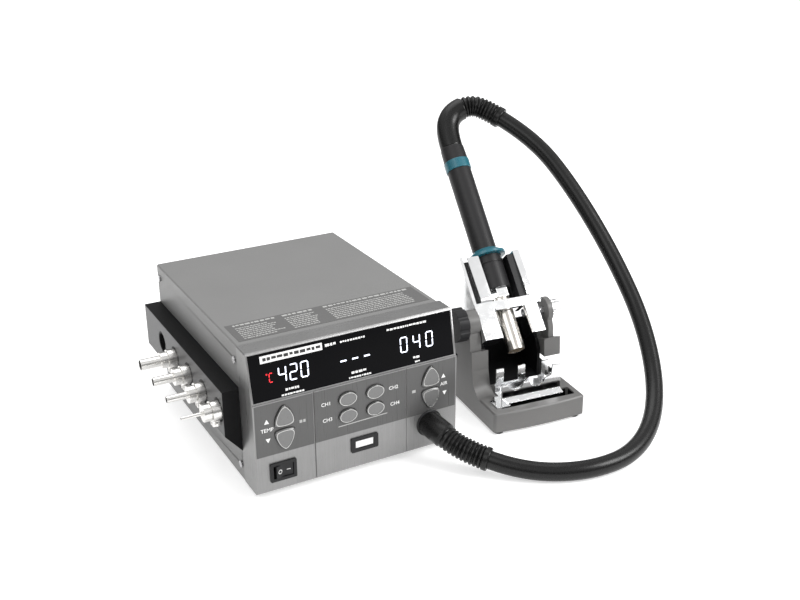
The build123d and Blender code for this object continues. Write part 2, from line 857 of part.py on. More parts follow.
with BuildPart() as gland_nut:
    with BuildSketch(facing(7.6)):
        with Locations((gland_x, gland_h)):
            RegularPolygon(15, 6)
            Circle(gland_neck_r + running, mode=Mode.SUBTRACT)
    extrude(amount=4.6)
keep(gland_nut, "gland_nut")

# ---------------------------------------------------------------- stand
bracket_in, arm_low = 17.2, 44.0
tray_floor, tray_spot, tray_w, tray_deep = 8.0, (49.5, 14), 77.0, 14.0
with BuildPart() as stand_base:
    with BuildSketch(stand_level(foot_h)):
        with BuildLine():
            ThreePointArc((0, 0), (stand_w / 2, -2.6), (stand_w, 0))
            Line((stand_w, 0), (stand_w, stand_d))
            Line((stand_w, stand_d), (0, stand_d))
            Line((0, stand_d), (0, 0))
        make_face()
    extrude(amount=stand_h - foot_h)
    uprights = stand_base.edges().filter_by(Axis.Z)
    fillet(uprights, radius=3.0)
    rim = stand_base.faces().sort_by(Axis.Z)[-1].edges()
    chamfer(rim, length=1.2)
    # riser that carries the left arm
    with BuildSketch(stand_flank(0)):
        with BuildLine():
            Polyline((28, stand_h - 2), (36, stand_h + 2), (43, 30), (46.5, arm_low))
            Polyline((46.5, arm_low), (78, arm_low), (87, stand_h - 2), (28, stand_h - 2))
        make_face()
    extrude(amount=bracket_in - 0.05)
    # tray in front of the nozzle clip
    with BuildSketch(stand_level(tray_floor)):
        with Locations(tray_spot):
            RectangleRounded(tray_w, tray_deep, 2.0)
    extrude(amount=stand_h, mode=Mode.SUBTRACT)
keep(stand_base, "stand_base")

case_foot_r, stand_foot_r = 7.0, 4.5
with BuildPart() as rubber_feet:
    with BuildSketch(level(-feet_h)):
        with Locations((bezel_w / 2, 132)):
            with GridLocations(bezel_w - 44, 180, 2, 2):
                Circle(case_foot_r)
    extrude(amount=feet_h + skirt)
    with BuildSketch(stand_level(0)):
        with Locations((stand_w / 2, stand_d / 2)):
            with GridLocations(stand_w - 15, stand_d - 12, 2, 2):
                Circle(stand_foot_r)
    extrude(amount=foot_h)
keep(rubber_feet, "rubber_feet")

clip_low = stand_h
clip_x0, clip_x1 = 19.0, 80.0
clip_mid = (clip_x0 + clip_x1) / 2
clip_plate = 1.2
clip_screw_spots = [(26, 30), (73, 30)]
clip_front_y, clip_rear_y, clip_sheet = 23.0, 37.5, 1.5
strip_front = 15.0
lip_h, post_h = 14.0, 26.0
notch_spots, notch_r = [(33, clip_low + 15.4), (55.6, clip_low + 15.4)], 8.2
tab_spots, tab_w, tab_h = [24, 46.5, 71.5], 7.5, 20.0
with BuildPart() as nozzle_clip:
    # front plate with two round notches and its tall right post
    with BuildSketch(stand_facing(clip_front_y)):
        with BuildLine():
            Polyline(
                (clip_x0, clip_low),
                (clip_x0, clip_low + lip_h),
                (64, clip_low + lip_h),
                (70, clip_low + lip_h + 2),
                (71, clip_low + post_h),
                (clip_x1, clip_low + post_h - 1),
                (clip_x1, clip_low),
                close=True,
            )
        make_face()
        with Locations(*notch_spots):
            Circle(notch_r, mode=Mode.SUBTRACT)
    extrude(amount=clip_sheet)
    # strip that slopes down over the tray
    with BuildSketch(stand_flank(clip_x0)):
        with BuildLine():
            Polyline(
                (clip_front_y - clip_sheet, clip_low + 1.4),
                (strip_front, clip_low - 0.8),
                (strip_front, clip_low - 2.0),
                (clip_front_y - clip_sheet, clip_low + 0.2),
                close=True,
            )
        make_face()
    extrude(amount=clip_x1 - clip_x0)
    # rear plate with three upright tabs
    with BuildSketch(stand_facing(clip_rear_y)):
        with Locations((clip_mid, clip_low + 5)):
            Rectangle(clip_x1 - clip_x0, 10)
        for tab_x in tab_spots:
            with Locations((tab_x, clip_low + lip_h)):
                Rectangle(tab_w, tab_h)
    extrude(amount=clip_sheet)
    with BuildSketch(stand_level(clip_low)):
        with Locations((clip_mid, 29.5)):
            Rectangle(clip_x1 - clip_x0, 16.0)
        with Locations((13.5, 15.5)):
            Rectangle(13, 15)
        with Locations((16, 25)):
            Rectangle(8, 6)
        with Locations(*clip_screw_spots):
            Circle(screw_r + screw_clearance, mode=Mode.SUBTRACT)
    extrude(amount=clip_plate)
keep(nozzle_clip, "nozzle_clip")


right_side = flank(bezel_w - cover_inset)
left_side = Plane(
    origin=station.from_local_coords((cover_inset, 0, 0)), x_dir=(0, -1, 0), z_dir=(-1, 0, 0)
)
# surface, places, head radius, head height and shank length of each set of screws
screw_sets = [
    (right_side, screw_spots, 3.0, 1.5, 6.0),
    (left_side, [(-y, h) for y, h in screw_spots], 3.0, 1.5, 6.0),
    (left_side.offset(sheet), [(-y, h) for y, h in rack_screw_spots], 2.8, 1.6, sheet),
    (stand_level(clip_low + clip_plate), clip_screw_spots, 3.0, 1.8, clip_plate),
]
with BuildPart() as screws:
    for surface, spots, head_r, head, shank in screw_sets:
        with BuildSketch(surface):
            with Locations(*spots):
                Circle(head_r)
        extrude(amount=head)
        with BuildSketch(surface):
            with Locations(*spots):
                Circle(screw_r)
        extrude(amount=-shank)
keep(screws, "screws")

# black steel bracket: a rear plate, a low floor and two upright plates
plate = 3.0
rear_y, rear_low, rear_top, rear_sheet = 92.0, 58.0, 68.0, 1.6
floor_back = rear_y - rear_sheet
with BuildPart() as stand_bracket:
    with BuildSketch(stand_facing(rear_y)):
        with BuildLine():
            Polyline(
                (3, stand_h),
                (3, rear_low),
                (12, rear_top),
                (stand_w - 12, rear_top),
                (stand_w - 3, rear_low),
                (stand_w - 3, stand_h),
                close=True,
            )
        make_face()
    extrude(amount=rear_sheet)
    with BuildSketch(stand_flank(bracket_in + plate)):
        with BuildLine():
            Polyline(
                (53, stand_h),
                (57, stand_h + 2),
                (floor_back, stand_h + 4.5),
                (floor_back, stand_h),
                close=True,
            )
        make_face()
    extrude(amount=stand_w - 2 - bracket_in - plate)
    for plate_x in (bracket_in, stand_w - bracket_in - plate):
        with BuildSketch(stand_flank(plate_x)):
            with BuildLine():
                Polyline(
                    (54, stand_h),
                    (55, 50),
                    (60, 58),
                    (76, 58),
                    (88, 66),
                    (floor_back, 66),
                    (floor_back, stand_h),
                    close=True,
                )
            make_face()
        extrude(amount=plate)
keep(stand_bracket, "stand_bracket")

# cast arms: a pad bolted to the bracket and a cheek with the pivot hub
left_hub_w, right_hub_x, right_hub_w = 11.2, 82.8, 5.2
pad_top, cheek_top = 62.0, 88.0
with BuildPart() as pivot_arms:
    for pad_x in (0, stand_w - bracket_in):
        with BuildSketch(stand_flank(pad_x)):
            with BuildLine():
                Polyline(
                    (46.5, arm_low),
                    (48, pad_top),
                    (60, pad_top - 5),
                    (74, pad_top - 5),
                    (78, arm_low),
                    close=True,
                )
            make_face()
        extrude(amount=bracket_in)
    for hub_x, width in ((0, left_hub_w), (right_hub_x, right_hub_w)):
        with BuildSketch(stand_flank(hub_x)):
            with BuildLine():
                Polyline(
                    (49, arm_low + 4),
                    (51.5, 72),
                    (54, 78),
                    (70, cheek_top),
                    (80, 76),
                    (88, arm_low + 4),
                    close=True,
                )
            make_face()
            with Locations((pivot_y, pivot_h)):
                Circle(hub_r)
        extrude(amount=width)
    with BuildSketch(stand_flank(-1)):
        with Locations((pivot_y, pivot_h)):
            Circle(bolt_r)
    extrude(amount=stand_w + 2, mode=Mode.SUBTRACT)
keep(pivot_arms, "pivot_arms")

with BuildPart() as pivot_bolts:
    for bolt_x, reach in ((-10.0, 36.0), (stand_w - 26.0, 28.0)):
        with BuildSketch(stand_flank(bolt_x)):
            with Locations((pivot_y, pivot_h)):
                Circle(bolt_r)
        extrude(amount=reach)
keep(pivot_bolts, "pivot_bolts")

knob_r, lobe_count, lobe_ring, lobe_r, knob_thick = 16.0, 8, 18.6, 3.6, 10.0
knob_gap = 1.4  # from the arm to the knob's back
with BuildPart() as clamp_knob:
    with BuildSketch(stand_flank(-knob_gap)):
        with Locations((pivot_y, pivot_h)):
            Circle(knob_r)
            with PolarLocations(lobe_ring, lobe_count):
                Circle(lobe_r, mode=Mode.SUBTRACT)
    extrude(amount=-knob_thick)
    with BuildSketch(stand_flank(-1.0)):
        with Locations((pivot_y, pivot_h)):
            Circle(8.0)
    extrude(amount=-0.4)
    with BuildSketch(stand_flank(-1.0)):
        with Locations((pivot_y, pivot_h)):
            Circle(bolt_r + running)
    extrude(amount=-9.2, mode=Mode.SUBTRACT)
keep(clamp_knob, "clamp_knob")

lock_r, lock_ribs, lock_thick = 9.5, 16, 9.0
lock_x = right_hub_x + right_hub_w + 0.4
with BuildPart() as lock_knob:
    with BuildSketch(stand_flank(lock_x)):
        with Locations((pivot_y, pivot_h)):
            Circle(lock_r)
            with PolarLocations(lock_r + 0.4, lock_ribs):
                Circle(0.9, mode=Mode.SUBTRACT)
    extrude(amount=lock_thick)
    with BuildSketch(stand_flank(lock_x)):
        with Locations((pivot_y, pivot_h)):
            Circle(bolt_r + running)
    extrude(amount=8.2, mode=Mode.SUBTRACT)
keep(lock_knob, "lock_knob")

# ---------------------------------------------------------------- cradle
block_in = 15.0
block_out = {-1: 35.0, 1: 30.0}
shoulder_out = {-1: 35.0, 1: 33.0}
block_low, block_top = 11.0, 39.0
shoulder_in = 12.6
shoulder_t = 47.0
plate_in, plate_out = 32.0, 35.0
left_jaw_out, left_jaw_in = 26.4, 14.0
right_jaw_in, right_jaw_out = 22.0, 29.5
jaw_top = seat_t - seat_gap
bar_w, bar_h, bar_thick = 30.0, 9.0, 4.2

with BuildPart() as cradle:
    for side in (-1, 1):
        middle = side * (block_in + block_out[side]) / 2
        with BuildSketch(across(block_low)):
            with Locations((middle, -4)):
                RectangleRounded(block_out[side] - block_in, 22, 2.5)
        extrude(amount=block_top - block_low)
        # shoulders under the arms
        with BuildSketch(across(block_top)):
            with Locations((side * (shoulder_in + shoulder_out[side]) / 2, -5)):
                Rectangle(shoulder_out[side] - shoulder_in, 20)
        extrude(amount=shoulder_t - block_top)
    # outer plate on the left
    with BuildSketch(across(shoulder_t)):
        with Locations((-(plate_in + plate_out) / 2, -2)):
            Rectangle(plate_out - plate_in, 24)
    extrude(amount=jaw_top - shoulder_t)
    # bar across the front, under the handpiece's nut
    with BuildSketch(across(shoulder_t - bar_h)):
        with Locations((0, -12.9)):
            Rectangle(bar_w, bar_thick)
    extrude(amount=bar_h)
    # pivot bores
    with BuildSketch(stand_flank(-1)):
        with Locations((pivot_y, pivot_h)):
            Circle(bolt_r + running)
    extrude(amount=stand_w + 2, mode=Mode.SUBTRACT)
keep(cradle, "cradle")

with BuildPart() as cradle_jaws:
    for jaw_low, jaw_high in ((-left_jaw_out, -left_jaw_in), (right_jaw_in, right_jaw_out)):
        with BuildSketch(beside(jaw_high)):
            with BuildLine():
                Polyline(
                    (1, shoulder_t),
                    (1, jaw_top),
                    (12, jaw_top),
                    (14, 52),
                    (12, shoulder_t),
                    close=True,
                )
            make_face()
        extrude(amount=jaw_high - jaw_low)
keep(cradle_jaws, "cradle_jaws")

liner_r, liner_in = 16.6, collar_r + 0.7
right_pad_in = 15.2
with BuildPart() as cradle_liner:
    with BuildSketch(across(shoulder_t)):
        with BuildLine():
            ThreePointArc((-liner_r, 1.0), (0, liner_r), (liner_r, 1.0))
            Line((liner_r, 1.0), (liner_in, 1.0))
            ThreePointArc((liner_in, 1.0), (0, liner_in), (-liner_in, 1.0))
            Line((-liner_in, 1.0), (-liner_r, 1.0))
        make_face()
    extrude(amount=seat_t - shoulder_t - 1.4)
    # pads beside the jaws: low on the left, full on the right
    with BuildSketch(across(shoulder_t)):
        with Locations((-(plate_in + left_jaw_out) / 2, -4)):
            Rectangle(plate_in - left_jaw_out, 6)
        with Locations(((right_jaw_in + right_pad_in) / 2, -6)):
            Rectangle(right_jaw_in - right_pad_in, 10)
    extrude(amount=seat_t - shoulder_t - 3.0)
keep(cradle_liner, "cradle_liner")

# ---------------------------------------------------------------- handpiece


def ring(plane, outer, inner, length, name, end_round=0.0):
    """A round sleeve on the handpiece's axis."""
    with BuildPart() as sleeve:
        with BuildSketch(plane):
            Circle(outer)
            if inner:
                Circle(inner, mode=Mode.SUBTRACT)
        extrude(amount=length)
        if end_round:
            ends = sleeve.edges().filter_by(GeomType.CIRCLE).sort_by(SortBy.RADIUS)[-2:]
            fillet(ends, radius=end_round)
    return keep(sleeve, name)


tube_long, grip_wall = 60.0, 1.8
nut_low, collar_low, groove_t = 52.0, 61.0, 86.0
ring_t, cap_low = 189.0, 199.0
grip_t = seat_t + 7.0

ring(across(0), tube_r, tube_r - 0.9, tube_long, "heater_tube")
with BuildPart() as heater_core:
    with BuildSketch(across(3.0)):
        Circle(tube_r - 1.3)
        with PolarLocations(4.2, 6):
            Circle(1.3, mode=Mode.SUBTRACT)
    extrude(amount=84.0)
keep(heater_core, "heater_core")

with BuildPart() as clamp_nut:
    with BuildSketch(across(nut_low)):
        RegularPolygon(11.2, 6)
        Circle(tube_r + running, mode=Mode.SUBTRACT)
    extrude(amount=collar_low - nut_low)
keep(clamp_nut, "clamp_nut")

collar_steps = [
    (collar_low, groove_t, collar_r),
    (groove_t, groove_t + 1.2, collar_r - 0.8),
    (groove_t + 1.2, seat_t, collar_r),
]
with BuildPart() as handle_collar:
    for low, high, outer in collar_steps:
        with BuildSketch(across(low)):
            Circle(outer)
            Circle(tube_r + running, mode=Mode.SUBTRACT)
        extrude(amount=high - low)
keep(handle_collar, "handle_collar")

with BuildPart() as lower_ring:
    with BuildSketch(across(seat_t)):
        Circle(flange_r)
    extrude(amount=2.6)
    with BuildSketch(across(seat_t + 2.6)):
        Circle(flange_r - 0.8)
    with BuildSketch(across(grip_t)):
        Circle(grip_r + 0.6)
    loft()
    with BuildSketch(across(seat_t)):
        Circle(tube_r + 1.0)
    extrude(amount=10, mode=Mode.SUBTRACT)
keep(lower_ring, "lower_ring")

ring(across(grip_t), grip_r, grip_r - grip_wall, ring_t - grip_t, "handle_grip")
ring(across(ring_t), grip_r + 0.9, grip_r - grip_wall, cap_low - ring_t, "upper_ring", 0.6)
with BuildPart() as handle_cap:
    with BuildSketch(across(cap_low)):
        Circle(grip_r + 0.3)
    with BuildSketch(across(cap_t)):
        Circle(grip_r - 0.2)
    loft()
    cap_edge = handle_cap.edges().filter_by(GeomType.CIRCLE).sort_by(Axis.Z)[-1]
    fillet(cap_edge, radius=0.9)
keep(handle_cap, "handle_cap")
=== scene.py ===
# Hot air station: the looks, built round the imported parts
import math
import random

import bmesh
import bpy
from mathutils import Matrix, Vector


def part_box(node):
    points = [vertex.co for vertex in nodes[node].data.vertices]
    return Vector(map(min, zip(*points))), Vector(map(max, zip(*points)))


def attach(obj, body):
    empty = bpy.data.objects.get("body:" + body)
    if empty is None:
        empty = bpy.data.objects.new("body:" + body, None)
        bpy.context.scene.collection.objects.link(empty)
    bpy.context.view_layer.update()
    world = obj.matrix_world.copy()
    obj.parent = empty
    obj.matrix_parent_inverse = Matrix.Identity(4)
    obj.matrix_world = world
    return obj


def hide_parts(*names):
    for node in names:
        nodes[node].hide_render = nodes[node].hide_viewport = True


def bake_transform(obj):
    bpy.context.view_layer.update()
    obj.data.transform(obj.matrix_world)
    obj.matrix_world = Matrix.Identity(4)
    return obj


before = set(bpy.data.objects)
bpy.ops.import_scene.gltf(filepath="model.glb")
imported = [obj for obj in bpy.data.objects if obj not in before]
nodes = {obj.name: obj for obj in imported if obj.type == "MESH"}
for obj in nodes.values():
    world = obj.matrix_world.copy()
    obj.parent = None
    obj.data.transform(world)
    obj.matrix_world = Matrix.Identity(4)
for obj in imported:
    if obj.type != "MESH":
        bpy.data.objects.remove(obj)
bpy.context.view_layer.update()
mm = 0.001
print("frame loaded:", len(nodes), "CAD nodes")

# places: the case counts from the bezel's lower front left corner, the stand from its own corner
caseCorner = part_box("front_bezel")[0]


def onCase(x, y, z):
    return caseCorner + Vector((x, y, z))


standPlace = {"x": 0.2270, "y": -0.0039, "turn": -5.8}
standTurn = Matrix.Rotation(math.radians(standPlace["turn"]), 4, "Z")
standCorner = Vector((caseCorner.x + standPlace["x"], caseCorner.y + standPlace["y"], 0))
standBase = Matrix.Translation(standCorner) @ standTurn


handPlace = {"tip": (0.0467, 0.0473, 0.056), "lean": 42.35, "capEnd": 0.214}
leanBack = Matrix.Rotation(-math.radians(handPlace["lean"]), 4, "X")
handBase = standBase @ Matrix.Translation(handPlace["tip"]) @ leanBack  # local z runs up the handpiece


def onHand(t):
    return handBase @ Vector((0, 0, t))


def faceBase(origin, across, up):
    # a drawing plane: x across, y up, z out of the face
    across, up = across.normalized(), up.normalized()
    out = across.cross(up)
    base = Matrix((across, up, out)).transposed().to_4x4()
    base.translation = origin
    return base


# camera
cameraLook = {
    "spot": (-0.26208, -0.715, 0.492),  # counted from the case's corner
    "azimuth": 28.908,
    "tilt": 22.958,
    "roll": -0.267,
    "lens": 49.05,
}


def makeCamera(look):
    data = bpy.data.cameras.new("camera")
    data.lens = look["lens"]
    data.sensor_width = 36.0
    azimuth, tilt, roll = (math.radians(look[k]) for k in ("azimuth", "tilt", "roll"))
    ahead = Vector((math.sin(azimuth) * math.cos(tilt), math.cos(azimuth) * math.cos(tilt), -math.sin(tilt)))
    side = Vector((math.cos(azimuth), -math.sin(azimuth), 0))
    up = side.cross(ahead)
    right = math.cos(roll) * side + math.sin(roll) * up
    top = right.cross(ahead)
    camera = bpy.data.objects.new("camera", data)
    facing = Matrix((right, top, -ahead)).transposed().to_4x4()
    camera.matrix_world = Matrix.Translation(onCase(*look["spot"])) @ facing
    bpy.context.scene.collection.objects.link(camera)
    bpy.context.scene.camera = camera


makeCamera(cameraLook)
print("camera placed")


# materials
def makeMaterial(name, colour, metal=0.0, rough=0.45, vary=0.10, roughVary=0.08, grain=600.0,
                 stretch=(1, 1, 1), bump=0.15, depth=0.03, patch=22.0, coat=0.0, specular=0.5):
    # colour drifts in wide patches and in the grain; the grain also moves the roughness and the bump
    material = bpy.data.materials.new(name)
    material.use_nodes = True
    tree = material.node_tree
    shader = tree.nodes["Principled BSDF"]
    shader.inputs["Metallic"].default_value = metal
    shader.inputs["Coat Weight"].default_value = coat
    shader.inputs["Coat Roughness"].default_value = 0.12
    shader.inputs["Specular IOR Level"].default_value = specular
    place = tree.nodes.new("ShaderNodeTexCoord")
    scale = tree.nodes.new("ShaderNodeMapping")
    scale.inputs["Scale"].default_value = stretch
    tree.links.new(place.outputs["Object"], scale.inputs["Vector"])
    fine = tree.nodes.new("ShaderNodeTexNoise")
    fine.inputs["Scale"].default_value = grain
    fine.inputs["Detail"].default_value = 4.0
    tree.links.new(scale.outputs["Vector"], fine.inputs["Vector"])
    wide = tree.nodes.new("ShaderNodeTexNoise")
    wide.inputs["Scale"].default_value = patch
    wide.inputs["Detail"].default_value = 3.0
    tree.links.new(place.outputs["Object"], wide.inputs["Vector"])
    both = tree.nodes.new("ShaderNodeMath")
    both.operation = "MULTIPLY_ADD"
    both.inputs[1].default_value = 0.55
    tree.links.new(fine.outputs["Fac"], both.inputs[0])
    half = tree.nodes.new("ShaderNodeMath")
    half.operation = "MULTIPLY"
    half.inputs[1].default_value = 0.45
    tree.links.new(wide.outputs["Fac"], half.inputs[0])
    tree.links.new(half.outputs[0], both.inputs[2])
    ramp = tree.nodes.new("ShaderNodeValToRGB")
    ramp.color_ramp.elements[0].position = 0.3
    ramp.color_ramp.elements[1].position = 0.7
    ramp.color_ramp.elements[0].color = (*[c * (1 - vary) for c in colour], 1)
    ramp.color_ramp.elements[1].color = (*[min(1, c * (1 + vary)) for c in colour], 1)
    tree.links.new(both.outputs[0], ramp.inputs["Fac"])
    tree.links.new(ramp.outputs["Color"], shader.inputs["Base Color"])
    spread = tree.nodes.new("ShaderNodeMapRange")
    spread.inputs["From Min"].default_value = 0.3
    spread.inputs["From Max"].default_value = 0.7
    spread.inputs["To Min"].default_value = max(0.02, rough - roughVary)
    spread.inputs["To Max"].default_value = min(1, rough + roughVary)
    tree.links.new(fine.outputs["Fac"], spread.inputs["Value"])
    tree.links.new(spread.outputs["Result"], shader.inputs["Roughness"])
    if bump:
        relief = tree.nodes.new("ShaderNodeBump")
        relief.inputs["Strength"].default_value = bump
        relief.inputs["Distance"].default_value = depth * mm
        tree.links.new(fine.outputs["Fac"], relief.inputs["Height"])
        tree.links.new(relief.outputs["Normal"], shader.inputs["Normal"])
    return material


def makeGlow(name, colour, strength):
    # lit segments, a little uneven like real ones
    material = makeMaterial(name, colour, rough=0.4, vary=0.06, grain=900, bump=0)
    shader = material.node_tree.nodes["Principled BSDF"]
    shader.inputs["Emission Color"].default_value = (*colour, 1)
    shader.inputs["Emission Strength"].default_value = strength
    return material


casePaint = makeMaterial("casePaint", (0.185, 0.184, 0.182), rough=0.42, vary=0.05, grain=1500, bump=0.30)
panelBrushed = makeMaterial("panelBrushed", (0.26, 0.259, 0.258), metal=0.85, rough=0.34, vary=0.16,
                            grain=500, stretch=(7, 1, 0.06), bump=0.12, depth=0.01)
filmGrey = makeMaterial("filmGrey", (0.078, 0.0775, 0.077), metal=0.35, rough=0.34, vary=0.10,
                        grain=500, stretch=(7, 1, 0.06), bump=0.06, depth=0.01, coat=0.25)
buttonSilver = makeMaterial("buttonSilver", (0.150, 0.150, 0.149), metal=0.6, rough=0.30, vary=0.03,
                            roughVary=0.03, grain=1600, bump=0.04, depth=0.01, coat=0.4)
darkGlass = makeMaterial("darkGlass", (0.0012, 0.0012, 0.0018), rough=0.08, vary=0.3, roughVary=0.03,
                         grain=80, bump=0, specular=0.06)
blackPlastic = makeMaterial("blackPlastic", (0.011, 0.011, 0.012), rough=0.42, vary=0.2, grain=1400,
                            bump=0.25, specular=0.28)
gripPlastic = makeMaterial("gripPlastic", (0.016, 0.0155, 0.0165), rough=0.40, vary=0.15, grain=1800,
                           bump=0.35, specular=0.30)
whitePlastic = makeMaterial("whitePlastic", (0.86, 0.86, 0.85), rough=0.3, vary=0.03, grain=500,
                            bump=0.05)
ceramic = makeMaterial("ceramic", (0.40, 0.33, 0.25), rough=0.7, vary=0.25, grain=900, bump=0.3)
screwSteel = makeMaterial("screwSteel", (0.55, 0.55, 0.56), metal=1.0, rough=0.26, vary=0.12, grain=700,
                          bump=0.1)
blackSteel = makeMaterial("blackSteel", (0.006, 0.006, 0.0065), rough=0.5, vary=0.2, grain=1300,
                          bump=0.25, specular=0.12)
rackGrey = makeMaterial("rackGrey", (0.060, 0.060, 0.062), rough=0.42, vary=0.15, grain=1300, bump=0.25)
nozzleSteel = makeMaterial("nozzleSteel", (0.76, 0.75, 0.73), metal=1.0, rough=0.25, vary=0.10,
                           roughVary=0.07, grain=420, stretch=(0.1, 1, 1), bump=0.06, depth=0.01)
heatedSteel = makeMaterial("heatedSteel", (0.60, 0.575, 0.54), metal=1.0, rough=0.22, vary=0.12,
                           roughVary=0.06, grain=420, stretch=(1, 0.3, 0.3), bump=0.06, depth=0.01)
hoseRubber = makeMaterial("hoseRubber", (0.005, 0.005, 0.005), rough=0.30, vary=0.25, grain=1100,
                          bump=0.2, specular=0.30)
footRubber = makeMaterial("footRubber", (0.012, 0.012, 0.012), rough=0.6, vary=0.2, grain=900, bump=0.3)
castGrey = makeMaterial("castGrey", (0.125, 0.123, 0.120), rough=0.42, vary=0.07, grain=1300, bump=0.30)
brightChrome = makeMaterial("brightChrome", (0.88, 0.885, 0.89), metal=1.0, rough=0.09, vary=0.03,
                            roughVary=0.04, grain=160, bump=0.03, depth=0.01)
tealPlastic = makeMaterial("tealPlastic", (0.010, 0.115, 0.155), rough=0.30, vary=0.10, grain=900,
                           bump=0.12, coat=0.2)
boardGreen = makeMaterial("boardGreen", (0.02, 0.13, 0.05), rough=0.4, vary=0.3, grain=300, bump=0.2)
copperCoil = makeMaterial("copperCoil", (0.55, 0.26, 0.12), metal=0.9, rough=0.35, vary=0.3, grain=900,
                          bump=0.4)
whitePrint = makeMaterial("whitePrint", (0.80, 0.80, 0.79), rough=0.5, vary=0.04, grain=900, bump=0.05)
greyPrint = makeMaterial("greyPrint", (0.40, 0.40, 0.39), rough=0.5, vary=0.10, grain=900, bump=0.05)
darkPrint = makeMaterial("darkPrint", (0.02, 0.02, 0.02), rough=0.5, vary=0.2, grain=900, bump=0.05)
labelGrey = makeMaterial("labelGrey", (0.105, 0.104, 0.103), rough=0.5, vary=0.06, grain=1500, bump=0.10)
# lighter steel for the button rims: the raised rim is real shape, its extra brightness over the button is a
# painted highlight
rimSteelPaintedHighlight = makeMaterial("rimSteelPaintedHighlight", (0.50, 0.50, 0.49), metal=1.0, rough=0.22, vary=0.05, grain=900,
                        bump=0.03, depth=0.01)
digitWhite = makeGlow("digitWhite", (0.82, 0.86, 1.0), 1.3)
unitRed = makeGlow("unitRed", (0.85, 0.02, 0.03), 0.7)
print("materials made")

nodeFinish = {
    "casePaint": (casePaint, ["top_cover", "base_chassis", "rear_panel"]),
    "panel": (panelBrushed, ["front_bezel"]),
    "film": (filmGrey, ["control_film"]),
    "label": (labelGrey, ["top_label"]),
    "glass": (darkGlass, ["display_window"]),
    "boards": (boardGreen, ["front_boards", "power_board"]),
    "coil": (copperCoil, ["transformer"]),
    "blackPlastic": (blackPlastic, [
        "digit_modules", "port_frame", "switch_housing", "power_rocker", "mains_inlet", "fuse_holder",
        "power_parts", "blower_housing", "blower_motor", "air_duct", "blower_impeller",
        "hose_gland", "gland_nut", "clamp_knob", "cradle_liner"]),
    "grip": (gripPlastic, ["handle_collar", "handle_grip", "handle_cap"]),
    "white": (whitePlastic, ["port_tongue"]),
    "ceramic": (ceramic, ["heater_core"]),
    "screws": (screwSteel, ["screws", "pivot_bolts"]),
    "blackSteel": (blackSteel, ["nozzle_rack", "stand_bracket"]),
    "nozzles": (nozzleSteel, [f"rack_nozzle_{n}" for n in range(1, 5)]),
    "tube": (heatedSteel, ["heater_tube"]),
    "feet": (footRubber, ["rubber_feet"]),
    "cast": (castGrey, ["stand_base", "pivot_arms"]),
    "chrome": (brightChrome, ["cradle", "cradle_jaws", "nozzle_clip", "lock_knob", "clamp_nut"]),
    "teal": (tealPlastic, ["upper_ring", "lower_ring"]),
    "buttons": (buttonSilver, [n for n in nodes if n.endswith("_button")]),
}
for material, names in nodeFinish.values():
    for name in names:
        nodes[name].data.materials.clear()
        nodes[name].data.materials.append(material)


# softened edges on the CAD nodes that show
def makeSmoothGroup(angle):
    # smooth faces, with every edge sharper than the angle kept sharp
    group = bpy.data.node_groups.new("smoothBelow", "GeometryNodeTree")
    group.interface.new_socket("Geometry", in_out="INPUT", socket_type="NodeSocketGeometry")
    group.interface.new_socket("Geometry", in_out="OUTPUT", socket_type="NodeSocketGeometry")
    start = group.nodes.new("NodeGroupInput")
    end = group.nodes.new("NodeGroupOutput")
    faces = group.nodes.new("GeometryNodeSetShadeSmooth")
    edges = group.nodes.new("GeometryNodeSetShadeSmooth")
    edges.domain = "EDGE"
    edges.inputs["Shade Smooth"].default_value = False
    bend = group.nodes.new("GeometryNodeInputMeshEdgeAngle")
    sharper = group.nodes.new("FunctionNodeCompare")
    sharper.operation = "GREATER_THAN"
    sharper.inputs[1].default_value = math.radians(angle)
    group.links.new(start.outputs[0], faces.inputs["Geometry"])
    group.links.new(faces.outputs[0], edges.inputs["Geometry"])
    group.links.new(bend.outputs["Unsigned Angle"], sharper.inputs[0])
    group.links.new(sharper.outputs[0], edges.inputs["Selection"])
    group.links.new(edges.outputs[0], end.inputs[0])
    return group


smoothGroup = makeSmoothGroup(38)
edgeWidth = {"front_bezel": 0.5, "top_cover": 0.35, "stand_base": 0.6, "cradle": 0.7, "cradle_jaws": 0.8,
             "nozzle_clip": 0.25, "lock_knob": 0.25, "clamp_knob": 0.5, "clamp_nut": 0.4, "handle_grip": 0.3,
             "handle_collar": 0.3, "heater_tube": 0.15, "power_rocker": 0.3, "switch_housing": 0.25,
             "port_frame": 0.3, "nozzle_rack": 0.2, "cradle_liner": 0.4, "screws": 0.3, "pivot_bolts": 0.4,
             "mains_inlet": 0.4, "fuse_holder": 0.5, "stand_bracket": 0.3, "pivot_arms": 1.0,
             "rubber_feet": 0.5, "hose_gland": 0.3}
edgeWidth.update({f"rack_nozzle_{n}": 0.25 for n in range(1, 5)})


def softenEdges(piece, width):
    weld = piece.modifiers.new("weld", "WELD")
    weld.merge_threshold = 0.002 * mm
    if width:
        bevel = piece.modifiers.new("bevel", "BEVEL")
        bevel.width = width * mm
        bevel.segments = 2
        bevel.limit_method = "ANGLE"
        bevel.angle_limit = math.radians(40)
    smooth = piece.modifiers.new("smooth", "NODES")
    smooth.node_group = smoothGroup
    weights = piece.modifiers.new("weights", "WEIGHTED_NORMAL")
    weights.keep_sharp = True
    weights.weight = 90


for name, node in nodes.items():
    if "custom_normal" in node.data.attributes:
        node.data.attributes.remove(node.data.attributes["custom_normal"])
    softenEdges(node, edgeWidth.get(name, 0))
print("CAD nodes finished")


